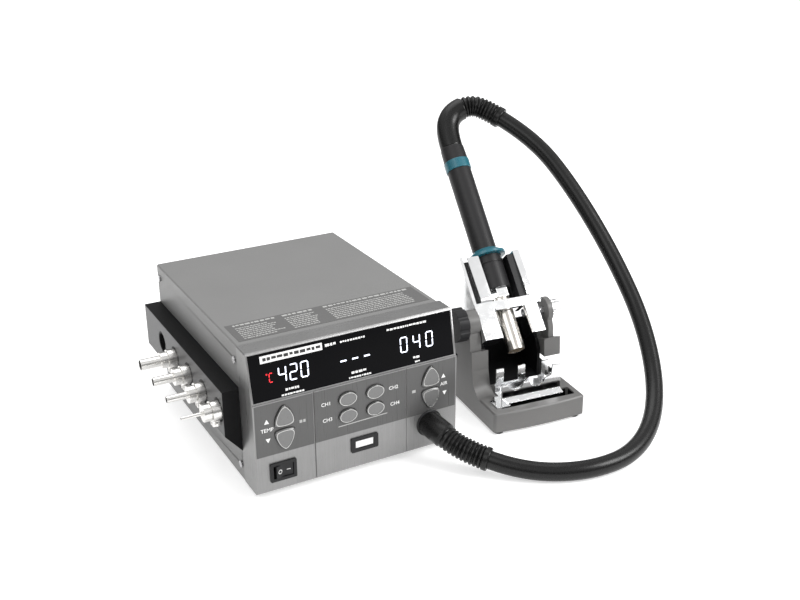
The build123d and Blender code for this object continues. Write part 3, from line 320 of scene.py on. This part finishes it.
# mesh helpers
def makePiece(name, mesh, material, body=None, smooth=35):
    if isinstance(mesh, bmesh.types.BMesh):
        bmesh.ops.recalc_face_normals(mesh, faces=mesh.faces)
        data = bpy.data.meshes.new(name)
        mesh.to_mesh(data)
        mesh.free()
    else:
        data = mesh
        data.name = name
    data.materials.clear()
    data.materials.append(material)
    data.polygons.foreach_set("use_smooth", [True] * len(data.polygons))
    data.set_sharp_from_angle(angle=math.radians(smooth))
    piece = bpy.data.objects.new(name, data)
    bpy.context.scene.collection.objects.link(piece)
    if body:
        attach(piece, body)
    return piece


def addRings(bm, rings, closed=False):
    # skins a list of point loops and caps the two ends
    loops = [[bm.verts.new(p) for p in ring] for ring in rings]
    pairs = list(zip(loops, loops[1:])) + ([(loops[-1], loops[0])] if closed else [])
    for a, b in pairs:
        for i in range(len(a)):
            j = (i + 1) % len(a)
            bm.faces.new((a[i], a[j], b[j], b[i]))
    if not closed:
        bm.faces.new(loops[0])
        bm.faces.new(loops[-1])


def addLathe(bm, profile, base, steps=64, closed=False):
    # profile of (radius, height) turned round the base's z
    rings = []
    for radius, height in profile:
        angles = [2 * math.pi * i / steps for i in range(steps)]
        rings.append([base @ Vector((radius * math.cos(a), radius * math.sin(a), height)) for a in angles])
    addRings(bm, rings, closed)


def addLayers(bm, outline, layers, base):
    # an outline stacked in layers of (share of its size, height), for domed caps and plates
    midX = sum(p[0] for p in outline) / len(outline)
    midY = sum(p[1] for p in outline) / len(outline)
    rings = []
    for share, height in layers:
        ring = [(midX + (x - midX) * share, midY + (y - midY) * share, height) for x, y in outline]
        rings.append([base @ Vector(p) for p in ring])
    addRings(bm, rings)


def addPlate(bm, x0, y0, x1, y1, thick, base):
    addLayers(bm, [(x0, y0), (x1, y0), (x1, y1), (x0, y1)], [(1, 0), (1, thick)], base)


def flatRing(inner, outer, thick):
    # a lathe profile for a thin washer
    return [(inner, 0), (outer, 0), (outer, thick), (inner, thick)]


def addText(bm, words, size, spot, base, thick=0.04 * mm, align="CENTER"):
    curve = bpy.data.curves.new("words", "FONT")
    curve.body = words
    curve.size = size
    curve.align_x = align
    curve.align_y = "CENTER"
    curve.extrude = thick
    curve.offset = size * 0.008
    curve.resolution_u = 3
    holder = bpy.data.objects.new("words", curve)
    bpy.context.scene.collection.objects.link(holder)
    bpy.context.view_layer.update()
    mesh = bpy.data.meshes.new_from_object(holder)
    mesh.transform(base @ Matrix.Translation((*spot, thick)))
    bm.from_mesh(mesh)
    bpy.data.objects.remove(holder)
    bpy.data.meshes.remove(mesh)


def addDashes(bm, x0, x1, y, height, base, rng, thick=0.05 * mm):
    # one row of generic marks where small print would be
    x = x0
    while x < x1 - height:
        long = min(height * rng.uniform(0.7, 1.9), x1 - x)
        low = y - height / 2 + height * rng.choice((0, 0, 0.18))
        addPlate(bm, x, low, x + long, y + height / 2, thick, base)
        x += long + height * rng.uniform(0.28, 0.5)


def addTriangle(bm, x, y, half, up, base, thick=0.06 * mm):
    tip = half * 1.25 * (1 if up else -1)
    outline = [(x - half, y - tip * 0.6), (x + half, y - tip * 0.6), (x, y + tip * 0.9)]
    addLayers(bm, outline, [(1, 0), (1, thick)], base)


def cutPlate(name, outline, holes, thick):
    # flat plate with round holes, from a filled 2-D curve
    curve = bpy.data.curves.new(name, "CURVE")
    curve.dimensions = "2D"
    curve.fill_mode = "BOTH"
    curve.extrude = thick / 2
    loops = [outline]
    for x, y, radius in holes:
        turns = [2 * math.pi * i / 48 for i in range(48)]
        loops.append([(x + radius * math.cos(a), y + radius * math.sin(a)) for a in turns])
    for loop in loops:
        spline = curve.splines.new("POLY")
        spline.points.add(len(loop) - 1)
        for point, (x, y) in zip(spline.points, loop):
            point.co = (x, y, 0, 1)
        spline.use_cyclic_u = True
    holder = bpy.data.objects.new(name, curve)
    bpy.context.scene.collection.objects.link(holder)
    bpy.context.view_layer.update()
    mesh = bpy.data.meshes.new_from_object(holder)
    bpy.data.objects.remove(holder)
    return mesh


# hose: one smooth line, read back and skinned
def readPath(route, fineness=32):
    curve = bpy.data.curves.new("route", "CURVE")
    curve.dimensions = "3D"
    curve.resolution_u = fineness
    spline = curve.splines.new("NURBS")
    spline.points.add(len(route) - 1)
    for point, spot in zip(spline.points, route):
        point.co = (*spot, 1)
    spline.order_u = 3
    spline.use_endpoint_u = True
    holder = bpy.data.objects.new("route", curve)
    bpy.context.scene.collection.objects.link(holder)
    bpy.context.view_layer.update()
    mesh = bpy.data.meshes.new_from_object(holder)
    points = [v.co.copy() for v in mesh.vertices]
    bpy.data.objects.remove(holder)
    bpy.data.meshes.remove(mesh)
    return points


def spaced(points, step):
    # the same line with its points a fixed distance apart
    total = sum((b - a).length for a, b in zip(points, points[1:]))
    count = max(2, round(total / step))
    gap = total / count
    line, walked, k = [points[0]], 0.0, 0
    for n in range(1, count):
        want = n * gap
        while walked + (points[k + 1] - points[k]).length < want:
            walked += (points[k + 1] - points[k]).length
            k += 1
        leg = points[k + 1] - points[k]
        line.append(points[k] + leg * ((want - walked) / leg.length))
    return line + [points[-1]], total


def skinTube(path, radii, steps=28):
    # rings square to the path, carried along it without twist
    bm = bmesh.new()
    ahead = (path[1] - path[0]).normalized()
    side = ahead.orthogonal().normalized()
    rings = []
    for n, point in enumerate(path):
        after = path[min(n + 1, len(path) - 1)]
        before = path[max(n - 1, 0)]
        ahead = (after - before).normalized()
        side = (side - ahead * side.dot(ahead)).normalized()
        other = ahead.cross(side)
        angles = [2 * math.pi * i / steps for i in range(steps)]
        rings.append([point + (side * math.cos(a) + other * math.sin(a)) * radii[n] for a in angles])
    addRings(bm, rings)
    return bm


hoseLook = {
    "radius": 0.0080,
    "step": 0.0030,
    "split": (0.397, 0.052, 0.120),  # below this the hose follows the case, above it the cradle
    "bendFrom": (0.300, -0.100, 0.003),
    "bendTo": (0.3445, 0.1760, 0.2345),
    "lowerLength": 0.360,
    "upperLength": 0.177,
    "route": [
        (0.1881, -0.05486, 0.008032), (0.207, -0.077, 0.0022), (0.256, -0.104, 0.0022),
        (0.314, -0.100, 0.003), (0.364, -0.064, 0.021), (0.393, -0.008, 0.066), (0.397, 0.052, 0.120),
        (0.384, 0.104, 0.176), (0.366, 0.146, 0.217), (0.3454, 0.1747, 0.2337)],
}
hoseLine, hoseTotal = spaced(readPath([onCase(*p) for p in hoseLook["route"]]), hoseLook["step"])
splitSpot = onCase(*hoseLook["split"])
splitAt = min(range(len(hoseLine)), key=lambda n: (hoseLine[n] - splitSpot).length)
splitSpot = hoseLine[splitAt]
lowerLine, upperLine = hoseLine[:splitAt + 1], hoseLine[splitAt:]
lowerTube = skinTube(lowerLine, [hoseLook["radius"]] * len(lowerLine))
lowerHose = makePiece("hoseLower", lowerTube, hoseRubber)
upperTube = skinTube(upperLine, [hoseLook["radius"]] * len(upperLine))
upperHose = makePiece("hoseUpper", upperTube, hoseRubber)
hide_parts("air_hose")
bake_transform(lowerHose)
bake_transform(upperHose)

bootLook = {
    "lowerRoute": [(0.161, 0.008, 0.0243), (0.161, -0.014, 0.0243), (0.172, -0.036, 0.013),
                   (0.1881, -0.05486, 0.008032)],
    "upperRoute": [(0.3454, 0.1747, 0.2337), (0.33304, 0.19192, 0.24372), (0.3195, 0.200, 0.2445),
                   (0.3035, 0.2025, 0.237)],
    "upperMid": 0.234,
    "step": 0.0004,
    "sleeve": 0.0112,
    "outer": 0.0104,
    "groove": 0.0090,
    "ribPitch": 0.0037,
    "lowerSmooth": 0.029,
    "upperSmooth": 0.050,
    "endRing": 0.0045,
    "endDrop": 0.0004,
    "endLong": 0.001,
}


def bootRadii(count, total, smooth, look):
    # smooth sleeve, then ribs with rounded tops, then a plain end ring; both ends taper a little
    radii = []
    for n in range(count):
        s = total * n / (count - 1)
        if s < smooth:
            radius = look["sleeve"]
        elif s > total - look["endRing"]:
            radius = look["outer"]
        else:
            wave = 0.5 + 0.5 * math.cos(2 * math.pi * (s - smooth) / look["ribPitch"])
            radius = look["groove"] + (look["outer"] - look["groove"]) * min(1, wave * 1.5)
        nearEnd = max(0, 1 - s / look["endLong"]) + max(0, 1 - (total - s) / look["endLong"])
        radii.append(radius - look["endDrop"] * nearEnd)
    return radii


lowerRoute = [onCase(*p) for p in bootLook["lowerRoute"]]
lowerBootLine, lowerBootLong = spaced(readPath(lowerRoute), bootLook["step"])
lowerRadii = bootRadii(len(lowerBootLine), lowerBootLong, bootLook["lowerSmooth"], bootLook)
lowerSleeve = skinTube(lowerBootLine, lowerRadii, 40)
lowerBoot = makePiece("bootLower", lowerSleeve, hoseRubber, "station")
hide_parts("lower_boot")
upperRoute = [onCase(*p) for p in bootLook["upperRoute"]]
upperRoute += [onHand(bootLook["upperMid"]), onHand(handPlace["capEnd"])]
upperBootLine, upperBootLong = spaced(readPath(upperRoute[::-1]), bootLook["step"])
upperRadii = bootRadii(len(upperBootLine), upperBootLong, bootLook["upperSmooth"], bootLook)
upperSleeve = skinTube(upperBootLine, upperRadii, 40)
upperBoot = makePiece("bootUpper", upperSleeve, hoseRubber, "handpiece")
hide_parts("upper_boot")

print("hose made:", round(hoseTotal, 3), "m, boots", round(lowerBootLong, 3), round(upperBootLong, 3))

# display: lit digits and small marks on the dark glass
displayLook = {"setBack": 0.0013, "low": 0.0829, "angle": math.atan2(8.2, 41.5), "glass": -0.00008}
displayUp = Vector((0, math.sin(displayLook["angle"]), math.cos(displayLook["angle"])))
displayBase = faceBase(onCase(0, displayLook["setBack"], displayLook["low"]), Vector((1, 0, 0)), displayUp)
displayBase = displayBase @ Matrix.Translation((0, 0, displayLook["glass"]))
digitLook = {
    "wide": 0.0060, "tall": 0.0125, "stroke": 0.00105, "slant": 0.04, "thick": 0.00006, "gap": 0.00022,
    "groups": [("420", 0.0252, 0.0133, 0.0096), ("040", 0.1352, 0.0134, 0.0123)],
    "dashes": [0.0826, 0.0933, 0.1042], "dashUp": 0.0183, "dashHalf": 0.0027, "dashShare": 0.6,
}
litSegments = {"0": "abcdef", "2": "abged", "4": "fgbc", "C": "adef"}


def addSegments(bm, lit, left, low, wide, tall, look):
    # seven pointed bars: a top, b and c right, d bottom, e and f left, g middle
    bar, gap, half = look["stroke"], look["gap"], tall / 2
    spots = {
        "a": (0, tall, wide, tall), "g": (0, half, wide, half), "d": (0, 0, wide, 0),
        "f": (0, half, 0, tall), "e": (0, 0, 0, half), "b": (wide, half, wide, tall),
        "c": (wide, 0, wide, half)}
    for name in lit:
        x0, y0, x1, y1 = spots[name]
        flat = y0 == y1
        long = (x1 - x0 if flat else y1 - y0) - 2 * gap
        r = bar / 2
        shape = [(0, 0), (r, r), (long - r, r), (long, 0), (long - r, -r), (r, -r)]
        if flat:
            shape = [(x0 + gap + a, y0 + b) for a, b in shape]
        else:
            shape = [(x0 + b, y0 + gap + a) for a, b in shape]
        shape = [(left + x + (y + low) * look["slant"], low + y) for x, y in shape]
        addLayers(bm, shape, [(1, 0), (1, look["thick"])], displayBase)


digits = bmesh.new()
for words, left, low, pitch in digitLook["groups"]:
    for n, sign in enumerate(words):
        addSegments(digits, litSegments[sign], left + n * pitch, low, digitLook["wide"],
                    digitLook["tall"], digitLook)
dashHalf, dashUp = digitLook["dashHalf"], digitLook["dashUp"]
for x in digitLook["dashes"]:
    bar = digitLook["stroke"] * digitLook["dashShare"]
    addPlate(digits, x - dashHalf, dashUp - bar, x + dashHalf, dashUp + bar, digitLook["thick"],
             displayBase)
makePiece("displayDigits", digits, digitWhite, "station")
unit = bmesh.new()
unitLook = {"left": 0.0170, "low": 0.0153, "wide": 0.0030, "tall": 0.0072, "stroke": 0.0008,
            "ring": (0.0003, 0.0007), "ringSpot": (0.0158, 0.0222, 0)}
addSegments(unit, litSegments["C"], unitLook["left"], unitLook["low"], unitLook["wide"],
            unitLook["tall"], dict(digitLook, stroke=unitLook["stroke"]))
unitBase = displayBase @ Matrix.Translation(unitLook["ringSpot"])
addLathe(unit, flatRing(*unitLook["ring"], digitLook["thick"]), unitBase, 20, closed=True)
makePiece("unitMark", unit, unitRed, "station")

rng = random.Random(7)
captions = bmesh.new()
captionRows = [(0.0300, 0.0432, 0.0064, 0.0019), (0.0262, 0.0474, 0.0024, 0.0014),
               (0.0886, 0.1022, 0.0067, 0.0019), (0.0860, 0.1066, 0.0027, 0.0014),
               (0.1466, 0.1542, 0.0066, 0.0019), (0.1480, 0.1530, 0.0028, 0.0014),
               (0.0680, 0.0790, 0.0345, 0.0022), (0.0815, 0.1040, 0.0345, 0.0015),
               (0.1245, 0.1625, 0.0352, 0.0017)]
for x0, x1, y, height in captionRows:
    addDashes(captions, x0, x1, y, height, displayBase, rng)
makePiece("displayCaptions", captions, whitePrint, "station")
badge = bmesh.new()
badgeLook = {"plate": (0.0117, 0.0316, 0.0655, 0.0376), "thick": 0.00006,
             "marks": (0.0140, 0.0640, 0.0346, 0.0026)}
addPlate(badge, *badgeLook["plate"], badgeLook["thick"], displayBase)
makePiece("displayBadge", badge, whitePrint, "station")
badgeMarks = bmesh.new()
markBase = displayBase @ Matrix.Translation((0, 0, badgeLook["thick"]))
addDashes(badgeMarks, *badgeLook["marks"], markBase, rng)
makePiece("badgeMarks", badgeMarks, darkPrint, "station")
print("display made")

# print on the panel
panelBase = faceBase(onCase(0, -0.00025, 0), Vector((1, 0, 0)), Vector((0, 0, 1)))
printLook = {
    "size": 0.0046,
    "triangle": 0.0021,
    "words": [("TEMP", 0.0113, 0.0586), ("AIR", 0.1753, 0.0591), ("CH1", 0.0635, 0.0682),
              ("CH3", 0.0644, 0.0534), ("CH2", 0.1260, 0.0678), ("CH4", 0.1272, 0.0525)],
    "triangles": [(0.0112, 0.0660, True), (0.0117, 0.0494, False), (0.1748, 0.0665, True),
                  (0.1761, 0.0504, False)],
    "rule": [(0.0740, 0.0440), (0.1198, 0.0450), (0.1198, 0.0458), (0.0740, 0.0448)],
    "ruleThick": 0.00008,
    "dashes": [(0.0395, 0.0475, 0.0590), (0.1440, 0.1510, 0.0588)],
    "dashHeight": 0.0026,
}
panelPrint = bmesh.new()
for words, x, z in printLook["words"]:
    addText(panelPrint, words, printLook["size"], (x, z), panelBase)
for x, z, up in printLook["triangles"]:
    addTriangle(panelPrint, x, z, printLook["triangle"], up, panelBase)
makePiece("panelPrint", panelPrint, whitePrint, "station")
panelLines = bmesh.new()
addLayers(panelLines, printLook["rule"], [(1, 0), (1, printLook["ruleThick"])], panelBase)
for x0, x1, z in printLook["dashes"]:
    addDashes(panelLines, x0, x1, z, printLook["dashHeight"], panelBase, rng)
makePiece("panelLines", panelLines, greyPrint, "station")

# a raised rim round each button's face, in the shape of its CAD outline; the rim's shape is real, but its
# lighter steel is partly a painted highlight
rimLook = {"half": 0.0086, "low": -0.0074, "tip": 0.0106, "sag": 0.0012, "bulge": 0.0020,
           "ovalX": 0.0082, "ovalY": 0.0060, "up": 0.00025, "wide": 0.0009, "root": 0.0007,
           "rootShare": 0.985, "topShare": 0.955, "lip": 0.0004, "lipShare": 0.03}


def arcThrough(a, mid, b, steps=10):
    # points of a circle's arc from a over mid to b, without b
    a, mid, b = (Vector((*p, 0)) for p in (a, mid, b))
    side, chord = mid - a, b - a
    square = side.cross(chord).z
    toX = side.length_squared * chord.y - chord.length_squared * side.y
    toY = chord.length_squared * side.x - side.length_squared * chord.x
    centre = a + Vector((toX, toY, 0)) / (2 * square)
    start = math.atan2(a.y - centre.y, a.x - centre.x)
    turn = math.atan2(b.y - centre.y, b.x - centre.x) - start
    turn = (turn + math.pi) % (2 * math.pi) - math.pi
    radius = (a - centre).length
    angles = [start + turn * n / steps for n in range(steps)]
    return [(centre.x + radius * math.cos(t), centre.y + radius * math.sin(t)) for t in angles]


def rounded(points, passes=4):
    # corner cutting, which rounds the pick's three corners
    for step in range(passes):
        before = points[-1:] + points[:-1]
        after = points[1:] + points[:1]
        points = [tuple(0.25 * (a[k] + b[k]) + 0.5 * c[k] for k in (0, 1))
                  for a, b, c in zip(before, after, points)]
    return points


def pickOutline(look):
    left, right, tip = (-look["half"], look["low"]), (look["half"], look["low"]), (0, look["tip"])
    sideX = look["half"] / 2 + look["bulge"]
    sideY = (look["low"] + look["tip"] + look["bulge"]) / 2
    line = arcThrough(left, (0, look["low"] - look["sag"]), right)
    return rounded(line + arcThrough(right, (sideX, sideY), tip) + arcThrough(tip, (-sideX, sideY), left))


for name in [n for n in nodes if n.endswith("_button")]:
    buttonLow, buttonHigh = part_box(name)
    middle = (buttonLow + buttonHigh) / 2
    pick = not name.startswith("ch")
    if pick:
        flip = -1 if "down" in name else 1
        outline = [(x * flip, y * flip) for x, y in pickOutline(rimLook)]
    else:
        turns = [math.pi * n / 20 for n in range(40)]
        outline = [(rimLook["ovalX"] * math.cos(t), rimLook["ovalY"] * math.sin(t)) for t in turns]
    height = (min(p[1] for p in outline) + max(p[1] for p in outline)) / 2
    origin = Vector((middle.x, buttonLow.y, middle.z - height))
    base = faceBase(origin, Vector((1, 0, 0)), Vector((0, 0, 1)))
    inset = 1 - rimLook["wide"] / rimLook["ovalX"]
    section = [(rimLook["rootShare"], -rimLook["root"]), (rimLook["topShare"], rimLook["up"]),
               (inset, rimLook["up"]), (inset - rimLook["lipShare"], -rimLook["lip"])]
    rings = []
    for share, z in section:
        rings.append([base @ Vector((x * share, height + (y - height) * share, z)) for x, y in outline])
    rim = bmesh.new()
    addRings(rim, rings, closed=True)
    makePiece(name + "Rim", rim, rimSteelPaintedHighlight, name.removesuffix("_button"))

# on and off marks on the switch
rockerLook = {"pin": (0.0234, 0.0035, 0.0186), "rest": 8.0, "half": 0.0077, "tip": 0.0054,
              "root": 0.0040, "middle": 0.52, "ring": (0.00140, 0.00190), "bar": (0.0017, 0.00026),
              "thick": 0.00006}
rockerTurn = Matrix.Rotation(math.radians(rockerLook["rest"]), 4, "Z")
rockerHub = Matrix.Translation(onCase(*rockerLook["pin"])) @ rockerTurn
rockerMarks = bmesh.new()
for side in (-1, 1):
    inner = Vector((0, -rockerLook["root"], 0))
    outer = Vector((side * rockerLook["half"], -rockerLook["tip"], 0))
    middle = inner.lerp(outer, rockerLook["middle"])
    along = (outer - inner) * side
    base = rockerHub @ faceBase(middle, along, Vector((0, 0, 1)))
    if side < 0:
        addLathe(rockerMarks, flatRing(*rockerLook["ring"], rockerLook["thick"]), base, 28, closed=True)
    else:
        long, tall = rockerLook["bar"]
        addPlate(rockerMarks, -long, -tall, long, tall, rockerLook["thick"], base)
makePiece("rockerMarks", rockerMarks, whitePrint, "rocker")

# rows of small print on the cover's label
labelLow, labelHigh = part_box("top_label")
labelBase = faceBase(Vector((labelLow.x, labelLow.y, labelHigh.z)), Vector((1, 0, 0)), Vector((0, 1, 0)))
labelPrint = bmesh.new()
labelLook = {"rows": 7, "first": 0.0036, "pitch": 0.0035, "height": 0.0015, "title": 0.0305,
             "titleHeight": 0.0027,
             "spans": [(0.006, 0.046, 0.012), (0.050, 0.080, 0.008), (0.088, 0.170, 0.006)]}
for x0, x1, ragged in labelLook["spans"]:
    for n in range(labelLook["rows"]):
        y = labelLook["first"] + n * labelLook["pitch"]
        addDashes(labelPrint, x0, x1 - ragged * rng.random(), y, labelLook["height"], labelBase, rng)
    addDashes(labelPrint, x0, x1, labelLook["title"], labelLook["titleHeight"], labelBase, rng)
makePiece("labelPrint", labelPrint, greyPrint, "station")
print("print made")

# grey face of the nozzle rack, with the black rings of its holes left clear
rackLook = {"out": -0.01405, "front": 0.0292, "back": 0.2354, "low": 0.0456, "top": 0.0849, "hole": 0.0656,
            "first": 0.0394, "pitch": 0.0369, "clear": 0.0104, "thick": 0.0001}
rackHoles = [(rackLook["first"] + rackLook["pitch"] * n, rackLook["hole"], rackLook["clear"])
             for n in range(5)]
rackOutline = [(rackLook["front"], rackLook["low"]), (rackLook["back"], rackLook["low"]),
               (rackLook["back"], rackLook["top"]), (rackLook["front"], rackLook["top"])]
rackMesh = cutPlate("rackFace", rackOutline, rackHoles, rackLook["thick"])
rackTurn = Matrix(((0, 0, -1, 0), (1, 0, 0, 0), (0, 1, 0, 0), (0, 0, 0, 1)))  # the plate on edge, facing left
rackMesh.transform(Matrix.Translation(onCase(rackLook["out"], 0, 0)) @ rackTurn)
makePiece("rackFace", rackMesh, rackGrey, "station")
print("rack made")

# dark lining of the stand's tray
trayLook = {"x0": 0.0112, "x1": 0.0878, "y0": 0.0071, "y1": 0.0209, "low": 0.00805, "high": 0.0208,
            "thick": 0.0002, "corner": 0.002}
liner = bmesh.new()
linerBase = standBase @ Matrix.Translation((0, 0, trayLook["low"]))
x0, x1, y0, y1, thick, corner = (trayLook[k] for k in ("x0", "x1", "y0", "y1", "thick", "corner"))
addPlate(liner, x0, y0, x1, y1, thick, linerBase)
trayWalls = [(x0 + corner, y0, x1 - corner, y0 + thick), (x0 + corner, y1 - thick, x1 - corner, y1),
             (x0, y0 + corner, x0 + thick, y1 - corner), (x1 - thick, y0 + corner, x1, y1 - corner)]
for wall in trayWalls:
    addPlate(liner, *wall, trayLook["high"] - trayLook["low"], linerBase)
makePiece("trayLiner", liner, blackSteel, "station")
print("tray lined")

# floor and light
floorLook = {"half": 14.0, "colour": (0.80, 0.80, 0.80), "glow": 0.50}
floorMesh = bmesh.new()
half = floorLook["half"]
floorCorners = [(-half, -half, 0), (half, -half, 0), (half, half, 0), (-half, half, 0)]
floorMesh.faces.new([floorMesh.verts.new(p) for p in floorCorners])
floorPaint = makeMaterial("floorPaint", floorLook["colour"], rough=0.9, vary=0.01, grain=60, bump=0,
                          specular=0.0)
floorShader = floorPaint.node_tree.nodes["Principled BSDF"]
floorShader.inputs["Emission Color"].default_value = (1.0, 1.0, 1.0, 1)
floorShader.inputs["Emission Strength"].default_value = floorLook["glow"]
makePiece("floor", floorMesh, floorPaint)

# bright overhead, a darker band near the horizon for the chrome to mirror
skyLook = {"strength": 0.80, "bands": [(0.0, 0.7), (0.46, 0.5), (0.52, 0.10), (0.60, 0.22),
                                       (0.70, 0.70), (0.80, 1.3), (1.0, 1.0)]}
world = bpy.data.worlds.new("studio")
world.use_nodes = True
sky = world.node_tree
skyPlace = sky.nodes.new("ShaderNodeTexCoord")
skySplit = sky.nodes.new("ShaderNodeSeparateXYZ")
skyRise = sky.nodes.new("ShaderNodeMapRange")
skyRise.inputs["From Min"].default_value = -1.0
skyBands = sky.nodes.new("ShaderNodeValToRGB")
while len(skyBands.color_ramp.elements) < len(skyLook["bands"]):
    skyBands.color_ramp.elements.new(0.5)
for stop, (spot, grey) in zip(skyBands.color_ramp.elements, skyLook["bands"]):
    stop.position = spot
    stop.color = (grey, grey, grey, 1)
sky.links.new(skyPlace.outputs["Generated"], skySplit.inputs[0])
sky.links.new(skySplit.outputs["Z"], skyRise.inputs["Value"])
sky.links.new(skyRise.outputs["Result"], skyBands.inputs["Fac"])
sky.links.new(skyBands.outputs["Color"], sky.nodes["Background"].inputs["Color"])
sky.nodes["Background"].inputs["Strength"].default_value = skyLook["strength"]
bpy.context.scene.world = world
lamps = {
    "key": {"spot": (0.95, -1.0, 0.95), "power": 17, "size": 0.7},
    "fill": {"spot": (-1.0, -0.7, 1.3), "power": 4, "size": 0.9},
    "top": {"spot": (0.1, 0.5, 1.5), "power": 8, "size": 1.1},
}
lampAim = Vector((0, 0, 0.08))
for name, lamp in lamps.items():
    light = bpy.data.lights.new(name, "AREA")
    light.energy = lamp["power"]
    light.size = lamp["size"]
    holder = bpy.data.objects.new(name, light)
    holder.location = lamp["spot"]
    holder.rotation_euler = (lampAim - Vector(lamp["spot"])).to_track_quat("-Z", "Y").to_euler()
    bpy.context.scene.collection.objects.link(holder)
bpy.context.scene.view_settings.view_transform = "Standard"
print("floor and lights set")
